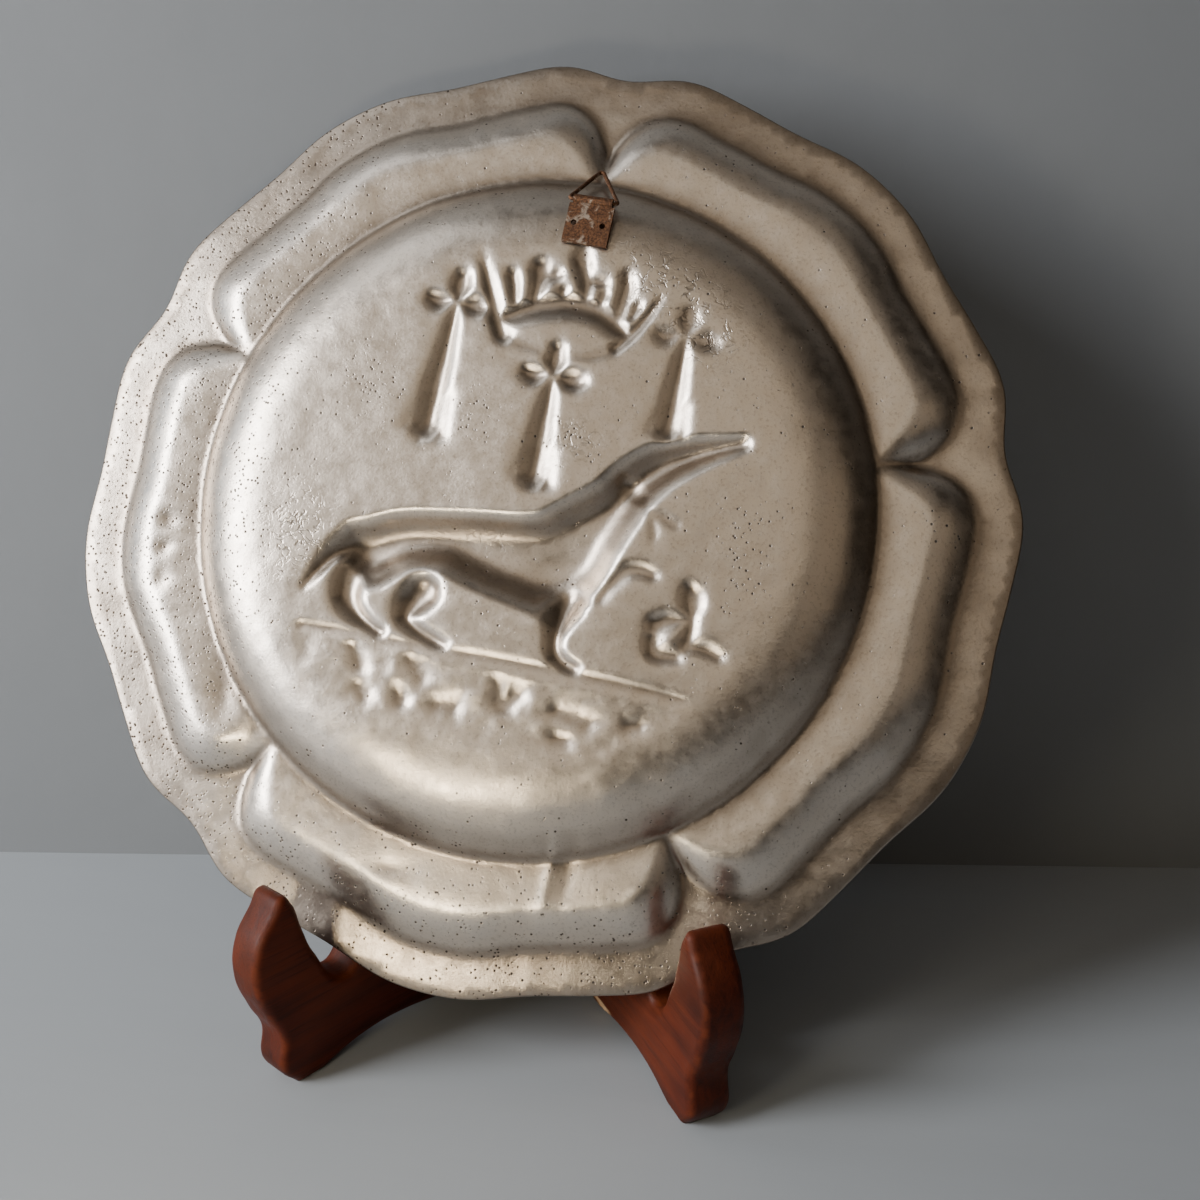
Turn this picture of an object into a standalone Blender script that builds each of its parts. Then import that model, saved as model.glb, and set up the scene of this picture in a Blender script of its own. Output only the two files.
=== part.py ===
"""Pewter wall plate shown from its hollow back, standing in a small easel of two wooden boards.

Lengths are written in millimetres and become metres where an object is made.
The plate has its own frame: u to the right, v up through the notch above the hanger, and w out of
the plate's back, with w = 0 on the flat border. An easel board has s along its foot, from toe to
heel, and z up from the floor.
"""

import math
from dataclasses import dataclass

import bmesh
import bpy
import numpy as np
from mathutils import Matrix, Vector
from mathutils.geometry import delaunay_2d_cdt

MM = 0.001
GAP = 0.3

# Plate: outline, flat border, raised band, well
LOBES = 5
SECTOR = math.tau / LOBES
MEAN_RADIUS = 118.0
OUTLINE_WAVES = (-0.63, 0.51, -1.06, -0.48, -0.21, -0.19)
WALL = 2.2
BORDER_WIDTH = 10.8
CUSP_DEPTH = 11.0
CUSP_HALF_WIDTH = 4.8
CUSP_SHARPNESS = 1.2
BAND_HEIGHT = 5.0
BAND_SLOPE = 11.0
BAND_ROUNDING = 1.6
FOOT_SOFTNESS = 0.5
BAND_RISE = 12.0
CREASE_RADIUS = 85.0
CREASE_HEIGHT = 4.2
SHOULDER_RADIUS = 62.0
WELL_HEIGHT = 13.0
WELL_ROUNDING = 2.6

# How the plate stands: height of its centre, lean from the vertical, turn in its own plane
CENTRE_HEIGHT = 129.4
LEAN = math.radians(22.8)
TURN = math.radians(8.9)

# Depths of the sunk figures, and the width of their sloping walls
ERMINE_DEPTH, ERMINE_WALL = 4.0, 5.0
LEG_DEPTH, LEG_WALL = 3.0, 3.5
SPOT_DEPTH, CORONET_DEPTH = 2.6, 2.1
PLANT_DEPTH, GROUND_DEPTH = 1.5, 1.1

# Hanger: folded strap with a rolled eye, and its wire ring
STRAP_CENTRE_U = 1.9
HINGE_V = 76.4
STRAP_WIDTH = 11.3
STRAP_LENGTH = 11.1
STRAP_THICKNESS = 1.1
EYE_RADIUS, EYE_BORE, EYE_WIDTH = 1.2, 0.85, 9.8
NAIL_HOLE_RADIUS, NAIL_HOLE_U, NAIL_HOLE_Y = 0.75, 3.6, -6.1
RING_WIRE = 0.5
RING_HALF_WIDTH = 6.3
RING_LENGTH = 15.9
RING_APEX_OFFSET = -1.9
RING_BEND = 0.6
RING_REST = math.radians(37.6)

# Easel
BOARD_ANGLE = math.radians(32.0)
BOARD_THICKNESS = 11.0
BOARD_ROUNDING = 2.2
TOE_X, TOE_Y = 46.3, -58.3
UPRIGHT_FOOT = (21.5, 27.0)
UPRIGHT_TOP = (48.6, 103.0)
HEEL = 108.0
BOARD_OUTLINE = (
    # (s, z, corner kind), round the board from the front of its foot
    (1.5, 0.0, "VECTOR"), (-2.7, 5.5, "AUTO"), (-2.2, 14.0, "AUTO"), (-5.2, 21.0, "AUTO"),
    (-8.2, 31.0, "AUTO"), (-6.8, 40.0, "AUTO"), (-2.6, 46.0, "AUTO"), (1.0, 50.1, "AUTO"),
    (3.4, 47.6, "AUTO"), (5.6, 40.5, "AUTO"), (8.6, 32.2, "AUTO"), (16.2, 22.6, "AUTO"),
    (*UPRIGHT_FOOT, "VECTOR"), (*UPRIGHT_TOP, "VECTOR"), (52.5, 108.5, "AUTO"), (61.0, 107.0, "AUTO"),
    (68.0, 94.0, "AUTO"), (76.0, 70.0, "AUTO"), (86.0, 59.0, "VECTOR"), (HEEL, 57.0, "VECTOR"),
    (HEEL, 0.0, "VECTOR"), (50.0, 0.0, "VECTOR"), (35.0, 2.9, "AUTO"), (20.0, 2.9, "AUTO"),
    (8.5, 0.0, "VECTOR"),
)

# Fineness of the plate's faces
FOOT_POINTS = 600
MOST_EXPONENT = 40.0
SLOPE_SHARES = (0.22, 0.58, 1.0)
LOBE_POINTS, CREASE_POINTS, WELL_POINTS = 11, 8, 7
WELL_INSETS = (3.5, 7.5, 14.0)
CREST_MARGIN = 1.6
NOTCH_CROWDING = 1.35
SLOPE_STEP, MOST_WALL_SHARE = 0.5, 1.5
STEEPEST_LEAST = 0.3
FEATURE_STEP, FEATURE_STEP_MIN, FEATURE_STEP_MAX = 0.9, 2.2, 3.4
FEATURE_SPACING = 1.1
EDGE_MARGIN = 3.2
FLOOR_LEAST = 0.6
CONTOUR_STEPS, CONTOUR_REACH = 6, 0.1
FILL_SPACING = 6.4
FILL_CLEARANCE = 3.6


@dataclass(frozen=True)
class Figure:
    """One sunk figure: strokes of (u, v, half width) that merge into each other."""

    depth: float
    wall: float
    strokes: tuple
    merge: float = 0.8
    vee: bool = False


def smooth(t):
    """A rise from 0 to 1 that starts and ends level."""
    t = np.clip(t, 0.0, 1.0)
    return t * t * (3.0 - 2.0 * t)


def outline_radius(angle):
    """The plate's outline, as a circle with waves that repeat in each lobe."""
    waves = sum(h * np.cos((k + 1) * LOBES * angle) for k, h in enumerate(OUTLINE_WAVES))
    return MEAN_RADIUS + waves


def band_radius(angle):
    """The outer foot of the raised band: the outline moved in, with a sharp cusp below each notch."""
    from_notch = np.abs((angle + SECTOR / 2) % SECTOR - SECTOR / 2) * MEAN_RADIUS
    cusp = CUSP_DEPTH * np.exp(-((from_notch / CUSP_HALF_WIDTH) ** CUSP_SHARPNESS))
    return outline_radius(angle) - BORDER_WIDTH - cusp


def inside_band(u, v):
    """How far inside the band's outer foot each point is, halfway between straight across and radially."""
    around = np.arange(FOOT_POINTS) / FOOT_POINTS * math.tau
    foot_u, foot_v = band_radius(around) * np.sin(around), band_radius(around) * np.cos(around)
    x, y = np.atleast_1d(u), np.atleast_1d(v)
    nearest = np.hypot(x[:, None] - foot_u, y[:, None] - foot_v).min(axis=1)
    radial = band_radius(np.arctan2(x, y)) - np.hypot(x, y)
    return (np.copysign(nearest, radial) + radial) / 2


def vessel_height(u, v):
    """The plate's back without its figures."""
    r = np.hypot(u, v)
    band = CREASE_HEIGHT + (BAND_HEIGHT - CREASE_HEIGHT) * smooth((r - CREASE_RADIUS) / BAND_RISE)
    inside = FOOT_SOFTNESS * np.log1p(np.exp(np.minimum(inside_band(u, v) / FOOT_SOFTNESS, MOST_EXPONENT)))
    band = band * (1.0 - (1.0 - np.clip(inside / BAND_SLOPE, 0.0, 1.0)) ** BAND_ROUNDING)
    t = np.clip((CREASE_RADIUS - r) / (CREASE_RADIUS - SHOULDER_RADIUS), 0.0, 1.0)
    well = CREASE_HEIGHT + (WELL_HEIGHT - CREASE_HEIGHT) * (1.0 - (1.0 - t) ** WELL_ROUNDING)
    return np.where(r > CREASE_RADIUS, band, well)


def rounded(stroke, steps=4):
    """A stroke with a smooth curve through its points (Catmull-Rom)."""
    p = np.array(stroke, float)
    if len(p) < 3:
        return p
    q = np.vstack([2 * p[0] - p[1], p, 2 * p[-1] - p[-2]])
    out = []
    for a, b, c, d in zip(q, q[1:], q[2:], q[3:]):
        for t in np.arange(steps) / steps:
            out.append(0.5 * (2 * b + (c - a) * t + (2 * a - 5 * b + 4 * c - d) * t**2
                              + (3 * b - a - 3 * c + d) * t**3))
    return np.array(out + [p[-1]])


def stroke_inside(u, v, stroke):
    """How far each point lies inside a stroke of varying width; negative outside."""
    best = np.full(np.shape(u), -1e3)
    for (x0, y0, r0), (x1, y1, r1) in zip(stroke, stroke[1:]):
        dx, dy = x1 - x0, y1 - y0
        t = np.clip(((u - x0) * dx + (v - y0) * dy) / (dx * dx + dy * dy), 0.0, 1.0)
        best = np.maximum(best, r0 + t * (r1 - r0) - np.hypot(u - x0 - t * dx, v - y0 - t * dy))
    return best


def figure_inside(u, v, figure):
    """How far each point lies inside a figure, with its strokes merged softly."""
    parts = np.array([stroke_inside(u, v, rounded(stroke)) for stroke in figure.strokes])
    top = parts.max(axis=0)
    return top + figure.merge * np.log(np.exp((parts - top) / figure.merge).sum(axis=0))


def figure_depth(u, v, figure):
    """How deep a figure is sunk at each point."""
    t = np.clip(figure_inside(u, v, figure) / figure.wall, 0.0, 1.0)
    return figure.depth * (t if figure.vee else np.sin(t * math.pi / 2))


def ermine():
    """The standing ermine: body with neck, head, foreleg and tail, then the two hind legs apart."""
    spine = ((-33.5, -19.0, 8.6), (-26.0, -14.6, 7.6), (-16.0, -12.5, 7.4), (-6.0, -12.9, 9.2),
             (4.0, -13.2, 10.8), (12.0, -11.8, 12.2), (17.5, -4.0, 9.5), (22.6, 3.2, 7.3),
             (26.0, 9.0, 6.6), (31.2, 14.6, 5.8), (37.3, 18.5, 4.6), (43.5, 21.4, 3.1),
             (49.5, 23.8, 1.9))
    foreleg = ((15.6, -20.0, 6.4), (15.6, -26.5, 3.2), (15.6, -30.0, 2.3), (16.4, -33.0, 2.2),
               (19.0, -35.3, 2.1), (21.8, -36.0, 1.7))
    tail = ((-38.0, -17.0, 4.8), (-42.5, -20.5, 2.9), (-45.5, -25.0, 1.7), (-48.0, -30.0, 0.6))
    far_leg = ((-37.0, -24.0, 4.8), (-37.0, -29.5, 4.2), (-34.5, -33.0, 3.0), (-30.0, -35.8, 2.1),
               (-26.8, -37.0, 1.7))
    near_leg = ((-18.0, -25.0, 4.2), (-21.3, -28.2, 4.3), (-22.4, -31.4, 3.0), (-18.0, -34.6, 2.3),
                (-13.2, -36.2, 2.0), (-10.8, -36.6, 1.5))
    raised_leg = ((24.3, -18.5, 1.4), (26.5, -14.5, 1.9), (29.3, -10.9, 2.2), (32.8, -10.2, 2.0),
                  (35.2, -10.7, 1.8))
    return [
        Figure(ERMINE_DEPTH, ERMINE_WALL, (spine, foreleg, tail)),
        Figure(LEG_DEPTH, LEG_WALL, (far_leg,)),
        Figure(LEG_DEPTH, LEG_WALL, (near_leg,)),
        Figure(PLANT_DEPTH, 2.0, (raised_leg,)),
    ]


def ermine_spot(u, v, length, lean, tail_width):
    """A heraldic spot: three petals above a tail that widens down to three tips."""
    def along(down, side=0.0):
        return u + lean * down + side, v - down

    petals = (
        ((*along(-8.0), 0.6), (*along(-4.8), 2.3), (*along(-1.2), 1.3)),
        ((*along(-0.4, -8.6), 0.6), (*along(0.3, -5.4), 1.9), (*along(-0.6, -1.6), 0.8)),
        ((*along(-0.6, 8.2), 1.3), (*along(-0.6, 5.6), 1.8), (*along(-0.6, 1.6), 0.8)),
    )
    tail = tuple((*along(length * t), 0.9 + (tail_width - 0.9) * t**0.6) for t in (0.0, 0.12, 0.45, 0.82))
    tips = tuple(
        ((*along(length * 0.6, side * 0.45), tail_width * 0.45), (*along(length * drop, side), 0.5))
        for side, drop in ((-tail_width, 0.92), (tail_width * 0.1, 1.06), (tail_width, 0.94))
    )
    return Figure(SPOT_DEPTH, 2.9, (*petals, tail, *tips), merge=0.4, vee=True)


def coronet():
    """The crown: headband and open underside between two pointed sides, with fleurons along its top."""
    sides = (
        ((-23.0, 59.0, 0.7), (-19.5, 53.0, 2.0), (-16.0, 46.0, 2.7), (-13.4, 41.6, 2.7)),
        ((23.2, 55.3, 0.7), (20.3, 50.0, 1.5), (18.0, 45.5, 1.7), (16.0, 42.6, 1.7)),
    )
    headband = ((-13.0, 43.5, 2.2), (-7.0, 46.9, 2.7), (1.0, 48.2, 2.8), (9.0, 47.4, 2.7), (15.5, 44.6, 2.2))
    rim = ((-12.0, 39.8, 1.5), (-5.0, 38.4, 1.3), (2.0, 38.0, 1.2), (9.0, 38.7, 1.3), (15.0, 41.0, 1.6))
    fleurons = tuple(
        ((u, 49.5, width * 0.6), (u + lean * 0.5, 53.5, width * 0.8), (u + lean, top, width))
        for u, top, width, lean in (
            (-12.0, 55.0, 1.4, -2.0), (-7.0, 58.5, 2.6, -0.6), (-0.5, 54.6, 1.2, -1.0),
            (4.8, 61.5, 2.3, -3.0), (8.8, 55.6, 1.7, 0.2), (14.0, 59.2, 2.2, 0.2), (17.2, 54.6, 1.5, 1.0))
    )
    return [
        Figure(CORONET_DEPTH, 2.3, (*sides, headband), merge=0.5),
        Figure(CORONET_DEPTH * 0.6, 1.4, (rim,)),
        Figure(CORONET_DEPTH * 0.9, 1.9, fleurons, merge=0.4),
    ]


def plant():
    """The small plant at the right: bud, stem, and leaves to both sides."""
    bud = ((44.5, -11.8, 1.2), (45.6, -14.8, 3.0), (46.3, -18.4, 1.1), (46.5, -22.0, 1.3), (46.0, -25.6, 1.5))
    upper_leaf = ((45.0, -19.6, 0.8), (41.0, -20.6, 1.9), (38.2, -22.0, 2.1))
    lower_leaf = ((38.2, -25.8, 1.9), (39.6, -28.4, 2.2), (44.5, -28.2, 1.6))
    right_leaf = ((47.0, -25.2, 1.0), (51.0, -25.3, 1.3), (54.8, -26.5, 0.7))
    return [Figure(PLANT_DEPTH, 1.9, (bud, upper_leaf, lower_leaf, right_leaf))]


def ground():
    """The ground line under the ermine's paws and the rough hollows below it."""
    line = ((-46.0, -39.4, 1.2), (-34.0, -38.8, 1.3), (-18.0, -38.6, 1.3), (0.0, -37.9, 1.3),
            (14.0, -37.6, 1.3), (28.0, -37.5, 1.3), (40.0, -37.7, 1.3), (49.0, -38.0, 1.1))
    hollows = (
        ((-32.0, -42.0, 1.8), (-29.4, -45.4, 2.4)), ((-28.4, -51.0, 2.2), (-26.6, -52.2, 2.6)),
        ((-18.6, -50.0, 1.9), (-17.6, -51.8, 2.5)), ((-17.2, -42.2, 2.2), (-14.0, -44.8, 2.6)),
        ((-9.0, -51.0, 2.4), (-5.0, -50.4, 2.6)), ((5.0, -43.6, 2.0), (6.8, -48.0, 2.6), (9.6, -45.0, 2.6)),
        ((20.0, -46.4, 2.2), (27.5, -47.6, 2.4)), ((37.2, -46.2, 1.9), (39.4, -45.6, 2.0)),
        ((21.0, -52.8, 1.8), (23.4, -52.4, 2.0)),
    )
    return [Figure(GROUND_DEPTH, 1.2, (line,)), Figure(GROUND_DEPTH, 2.2, hollows, merge=0.3)]


def all_figures():
    """Every sunk figure of the well."""
    spots = [
        ermine_spot(-27.2, 46.2, 34.0, -0.01, 4.6),
        ermine_spot(1.2, 31.8, 26.5, 0.03, 4.6),
        ermine_spot(31.0, 46.6, 24.5, 0.03, 3.8),
    ]
    return [*ermine(), *spots, *coronet(), *plant(), *ground()]


def back_height(u, v, figures):
    """The plate's back with its figures sunk into the well's floor."""
    sunk = np.max([figure_depth(u, v, figure) for figure in figures], axis=0)
    return vessel_height(u, v) - sunk


def upright_wall(u, v, figures):
    """The wall measured along w: thicker where the wall slopes, so that its true thickness is even."""
    step = SLOPE_STEP
    slope_u = (back_height(u + step, v, figures) - back_height(u - step, v, figures)) / (2 * step)
    slope_v = (back_height(u, v + step, figures) - back_height(u, v - step, figures)) / (2 * step)
    return WALL * np.minimum(np.hypot(1.0, np.hypot(slope_u, slope_v)), MOST_WALL_SHARE)


def ring_of(radius_at, per_half_lobe):
    """Points round the plate, closer together at the notches."""
    angles = []
    for lobe in range(LOBES):
        for k in range(-per_half_lobe, per_half_lobe):
            t = k / per_half_lobe
            angles.append(lobe * SECTOR + math.copysign(abs(t) ** NOTCH_CROWDING, t) * SECTOR / 2)
    angles = np.array(angles)
    radius = radius_at(angles)
    return np.stack([radius * np.sin(angles), radius * np.cos(angles)], axis=1)


def stations(stroke):
    """Points along a stroke at a step that grows with its width: position, half width and direction."""
    path = rounded(stroke)
    steps = np.hypot(*np.diff(path[:, :2], axis=0).T)
    run = np.concatenate([[0.0], np.cumsum(steps)])
    step = np.clip(FEATURE_STEP * path[:, 2].mean(), FEATURE_STEP_MIN, FEATURE_STEP_MAX)
    at = np.linspace(0.0, run[-1], max(2, round(run[-1] / step) + 1))
    spots = np.stack([np.interp(at, run, path[:, k]) for k in range(3)], axis=1)
    ways = np.gradient(spots[:, :2], axis=0)
    return spots, ways / np.linalg.norm(ways, axis=1)[:, None]


def moved_to(points, figure, level):
    """Points moved onto the line that lies a given depth inside a figure, without those that miss it."""
    start = np.array(points, float).reshape(-1, 2)
    at = start.copy()
    for _ in range(CONTOUR_STEPS):
        u, v = at.T
        slope = np.stack([
            figure_inside(u + CONTOUR_REACH, v, figure) - figure_inside(u - CONTOUR_REACH, v, figure),
            figure_inside(u, v + CONTOUR_REACH, figure) - figure_inside(u, v - CONTOUR_REACH, figure),
        ], axis=1) / (2 * CONTOUR_REACH)
        off = figure_inside(u, v, figure) - level
        at -= slope * (off / np.maximum((slope**2).sum(axis=1), STEEPEST_LEAST))[:, None]
    missed = np.abs(figure_inside(*at.T, figure) - level)
    carried = np.hypot(*(at - start).T)
    return [tuple(p) for p in at[(missed < CONTOUR_REACH) & (carried < EDGE_MARGIN)]]


def round_end(spot, way, outward, radius, step):
    """Points on the half circle that closes a stroke's end."""
    x, y = spot
    count = max(2, round(math.pi * radius / step))
    turns = math.atan2(way[1], way[0]) + (0.0 if outward > 0 else math.pi)
    angles = turns + math.pi * (np.arange(1, count) / count - 0.5)
    return [(x + radius * math.cos(t), y + radius * math.sin(t)) for t in angles]


def feature_points(figures):
    """Points along every stroke: on its edges, at the foot of its walls and on its middle line."""
    edges, feet, middles = [], [], []
    for figure in figures:
        rim, floor = [], []
        for stroke in figure.strokes:
            spots, ways = stations(stroke)
            step = np.hypot(*(spots[1] - spots[0])[:2])
            for (x, y, r), (dx, dy) in zip(spots, ways):
                rim += [(x - dy * k, y + dx * k) for k in (r, -r)]
                foot = r - figure.wall
                if foot > FLOOR_LEAST:
                    floor += [(x - dy * k, y + dx * k) for k in (foot, -foot)]
                else:
                    middles.append((x, y))
            for spot, way, outward in ((spots[0], ways[0], -1), (spots[-1], ways[-1], 1)):
                rim += round_end(spot[:2], way, outward, spot[2], step)
        edges += moved_to(rim, figure, 0.0)
        feet += moved_to(floor, figure, figure.wall)
    return edges + feet + middles


def thinned(points, spacing, taken=()):
    """The points in order, without those closer than the spacing to one that is kept."""
    kept = [np.array(p) for p in taken]
    first = len(kept)
    for p in points:
        if not kept or np.min(np.hypot(*(np.array(kept) - p).T)) >= spacing:
            kept.append(np.array(p))
    return kept[first:]


def plate_sheet(figures):
    """Triangles of the plate in plan, with corners along the outline, the band and the figures."""
    def round_ring(radius, per_half_lobe):
        """Points on a plain circle round the well."""
        return ring_of(lambda a: np.full(a.shape, radius), per_half_lobe)

    def inner_ring(share):
        """Points a share of the way up the band's outer slope."""
        return ring_of(lambda a: np.maximum(band_radius(a) - BAND_SLOPE * share, CREASE_RADIUS + CREST_MARGIN),
                       LOBE_POINTS)

    rings = [ring_of(outline_radius, LOBE_POINTS), ring_of(band_radius, LOBE_POINTS)]
    rings += [inner_ring(share) for share in SLOPE_SHARES]
    rings.append(round_ring(CREASE_RADIUS, CREASE_POINTS))
    rings += [round_ring(CREASE_RADIUS - inset, WELL_POINTS) for inset in WELL_INSETS]
    rings.append(round_ring(SHOULDER_RADIUS, WELL_POINTS))
    points, edges, start = [], [], 0
    for ring in rings:
        points += list(ring)
        edges += [(start + k, start + (k + 1) % len(ring)) for k in range(len(ring))]
        start += len(ring)
    features = thinned(feature_points(figures), FEATURE_SPACING)
    rows = np.arange(-SHOULDER_RADIUS, SHOULDER_RADIUS, FILL_SPACING * 0.866)
    grid = [
        (u + (k % 2) * FILL_SPACING / 2, v)
        for k, v in enumerate(rows)
        for u in np.arange(-SHOULDER_RADIUS, SHOULDER_RADIUS, FILL_SPACING)
        if math.hypot(u + (k % 2) * FILL_SPACING / 2, v) < SHOULDER_RADIUS - FILL_CLEARANCE
    ]
    points += features
    points += thinned(grid, FILL_CLEARANCE, features)
    outline = list(range(len(rings[0])))
    result = delaunay_2d_cdt([Vector(p) for p in points], edges, [outline], 1, 1e-5)
    return np.array([tuple(p) for p in result[0]]), [tuple(f) for f in result[2]]


def linked(obj, collection, parent=None):
    """Puts an object in a collection and under a parent, and returns it."""
    collection.objects.link(obj)
    obj.parent = parent
    return obj


def material(name, colour, roughness, metallic):
    """A Principled material in one plain colour."""
    made = bpy.data.materials.new(name)
    made.use_nodes = True
    shader = made.node_tree.nodes["Principled BSDF"]
    shader.inputs["Base Color"].default_value = (*colour, 1.0)
    shader.inputs["Roughness"].default_value = roughness
    shader.inputs["Metallic"].default_value = metallic
    return made


def make_plate(collection, parent, finish):
    """The casting: its back as a relief sheet, and the same sheet set back by the wall as its front."""
    figures = all_figures()
    plan, triangles = plate_sheet(figures)
    u, v = plan[:, 0], plan[:, 1]
    back = back_height(u, v, figures)
    wall = upright_wall(u, v, figures)
    mesh = bpy.data.meshes.new("plate")
    bm = bmesh.new()
    wall_layer = bm.verts.layers.float.new("wall")
    corners = [bm.verts.new((x * MM, y * MM, z * MM)) for x, y, z in zip(u, v, back)]
    for corner, thickness in zip(corners, wall):
        corner[wall_layer] = thickness
    faces = [bm.faces.new([corners[k] for k in triangle]) for triangle in triangles]
    grown = bmesh.ops.extrude_face_region(bm, geom=faces, use_keep_orig=True)
    for corner in (g for g in grown["geom"] if isinstance(g, bmesh.types.BMVert)):
        corner.co.z -= corner[wall_layer] * MM
    bmesh.ops.recalc_face_normals(bm, faces=bm.faces)
    bm.to_mesh(mesh)
    bm.free()
    mesh.shade_smooth()
    mesh.set_sharp_from_angle(angle=math.radians(20))
    mesh.materials.append(finish)
    return linked(bpy.data.objects.new("plate", mesh), collection, parent)


def flat_curve(name, splines, thickness):
    """A filled 2D curve with closed outlines, extruded to both sides of its plane."""
    curve = bpy.data.curves.new(name, "CURVE")
    curve.dimensions = "2D"
    curve.fill_mode = "BOTH"
    curve.extrude = thickness / 2 * MM
    for points in splines:
        spline = curve.splines.new("POLY")
        spline.points.add(len(points) - 1)
        for point, (x, y) in zip(spline.points, points):
            point.co = (x * MM, y * MM, 0.0, 1.0)
        spline.use_cyclic_u = True
    return curve


def as_mesh(name, curve, collection, parent, placed, finish):
    """A curve turned into a mesh object with welded caps, placed by its matrix under its parent."""
    holder = linked(bpy.data.objects.new(name + "_curve", curve), collection)
    graph = bpy.context.evaluated_depsgraph_get()
    mesh = bpy.data.meshes.new_from_object(holder.evaluated_get(graph))
    bpy.data.objects.remove(holder)
    bm = bmesh.new()
    bm.from_mesh(mesh)
    bmesh.ops.remove_doubles(bm, verts=bm.verts, dist=0.00001)
    bmesh.ops.dissolve_limit(bm, angle_limit=math.radians(0.5), verts=bm.verts, edges=bm.edges)
    bmesh.ops.recalc_face_normals(bm, faces=bm.faces)
    bm.to_mesh(mesh)
    bm.free()
    mesh.name = name
    mesh.set_sharp_from_angle(angle=math.radians(35))
    mesh.materials.clear()
    mesh.materials.append(finish)
    obj = linked(bpy.data.objects.new(name, mesh), collection, parent)
    obj.matrix_local = placed
    return obj


def cutter(obj):
    """Marks an object as a cutter: drawn as wire and left out of the model."""
    obj.hide_render = True
    obj.display_type = "WIRE"
    return obj


def cut_by(obj, tool):
    """Takes a cutter's shape out of an object."""
    cut = obj.modifiers.new("cut " + tool.name, "BOOLEAN")
    cut.operation = "DIFFERENCE"
    cut.solver = "EXACT"
    cut.object = tool


def arc(cx, cy, radius, start, stop, steps):
    """Points along an arc, from one angle to another in degrees."""
    turns = np.radians(np.linspace(start, stop, steps + 1))
    return [(cx + radius * math.cos(t), cy + radius * math.sin(t)) for t in turns]


def make_strap(collection, cutters, hinge, finish):
    """The folded strap below the hinge axis, with the rolled eye around the axis and two nail holes."""
    half = STRAP_THICKNESS / 2
    where_eye_starts = math.degrees(math.asin(half / EYE_RADIUS))
    section = [(-STRAP_LENGTH, -half)]
    section += arc(0, 0, EYE_RADIUS, -180 + where_eye_starts, 180 - where_eye_starts, 14)
    section.append((-STRAP_LENGTH, half))
    curve = flat_curve("hanger_strap", [section, arc(0, 0, EYE_BORE, 0, 330, 11)], STRAP_WIDTH)
    across = Matrix(((0, 0, 1), (1, 0, 0), (0, 1, 0))).to_4x4()
    strap = as_mesh("hanger_strap", curve, collection, hinge, across, finish)
    for side in (-1, 1):
        mesh = bpy.data.meshes.new("eye_end")
        bm = bmesh.new()
        bmesh.ops.create_cube(bm, size=4 * MM)
        bm.to_mesh(mesh)
        bm.free()
        end = linked(bpy.data.objects.new(f"eye_end_{side}", mesh), cutters, hinge)
        end.location = (side * (EYE_WIDTH / 2 + 2) * MM, (2 - EYE_RADIUS) * MM, 0.0)
        cut_by(strap, cutter(end))
        mesh = bpy.data.meshes.new("nail_hole")
        bm = bmesh.new()
        bmesh.ops.create_cone(bm, cap_ends=True, segments=12, radius1=NAIL_HOLE_RADIUS * MM,
                              radius2=NAIL_HOLE_RADIUS * MM, depth=4 * MM)
        bm.to_mesh(mesh)
        bm.free()
        hole = linked(bpy.data.objects.new(f"nail_hole_{side}", mesh), cutters, hinge)
        hole.location = (side * NAIL_HOLE_U * MM, NAIL_HOLE_Y * MM, 0.0)
        cut_by(strap, cutter(hole))
    return strap


def bent_corners(corners, radius, steps):
    """A closed outline with each corner bent round an arc."""
    out = []
    count = len(corners)
    for k in range(count):
        before, here, after = (Vector(corners[(k + j) % count]) for j in (-1, 0, 1))
        a, b = (before - here).normalized(), (after - here).normalized()
        half = a.angle(b) / 2
        centre = here + (a + b).normalized() * (radius / math.sin(half))
        start, stop = (here + way * (radius / math.tan(half)) - centre for way in (a, b))
        for j in range(steps + 1):
            out.append(centre + start.lerp(stop, j / steps).normalized() * radius)
    return out


def make_ring(collection, hinge, finish):
    """The wire ring: its base runs through the eye, and it lies up against the plate."""
    corners = ((-RING_HALF_WIDTH, 0.0), (RING_HALF_WIDTH, 0.0), (RING_APEX_OFFSET, RING_LENGTH))
    curve = bpy.data.curves.new("hanger_ring", "CURVE")
    curve.dimensions = "3D"
    curve.bevel_depth = RING_WIRE * MM
    curve.bevel_resolution = 2
    spline = curve.splines.new("POLY")
    points = bent_corners(corners, RING_BEND, 4)
    spline.points.add(len(points) - 1)
    for point, (x, y) in zip(spline.points, points):
        point.co = (x * MM, y * MM, 0.0, 1.0)
    spline.use_cyclic_u = True
    curve.materials.append(finish)
    ring = linked(bpy.data.objects.new("hanger_ring", curve), collection, hinge)
    ring.rotation_euler = (-RING_REST, 0.0, 0.0)
    return ring


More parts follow.
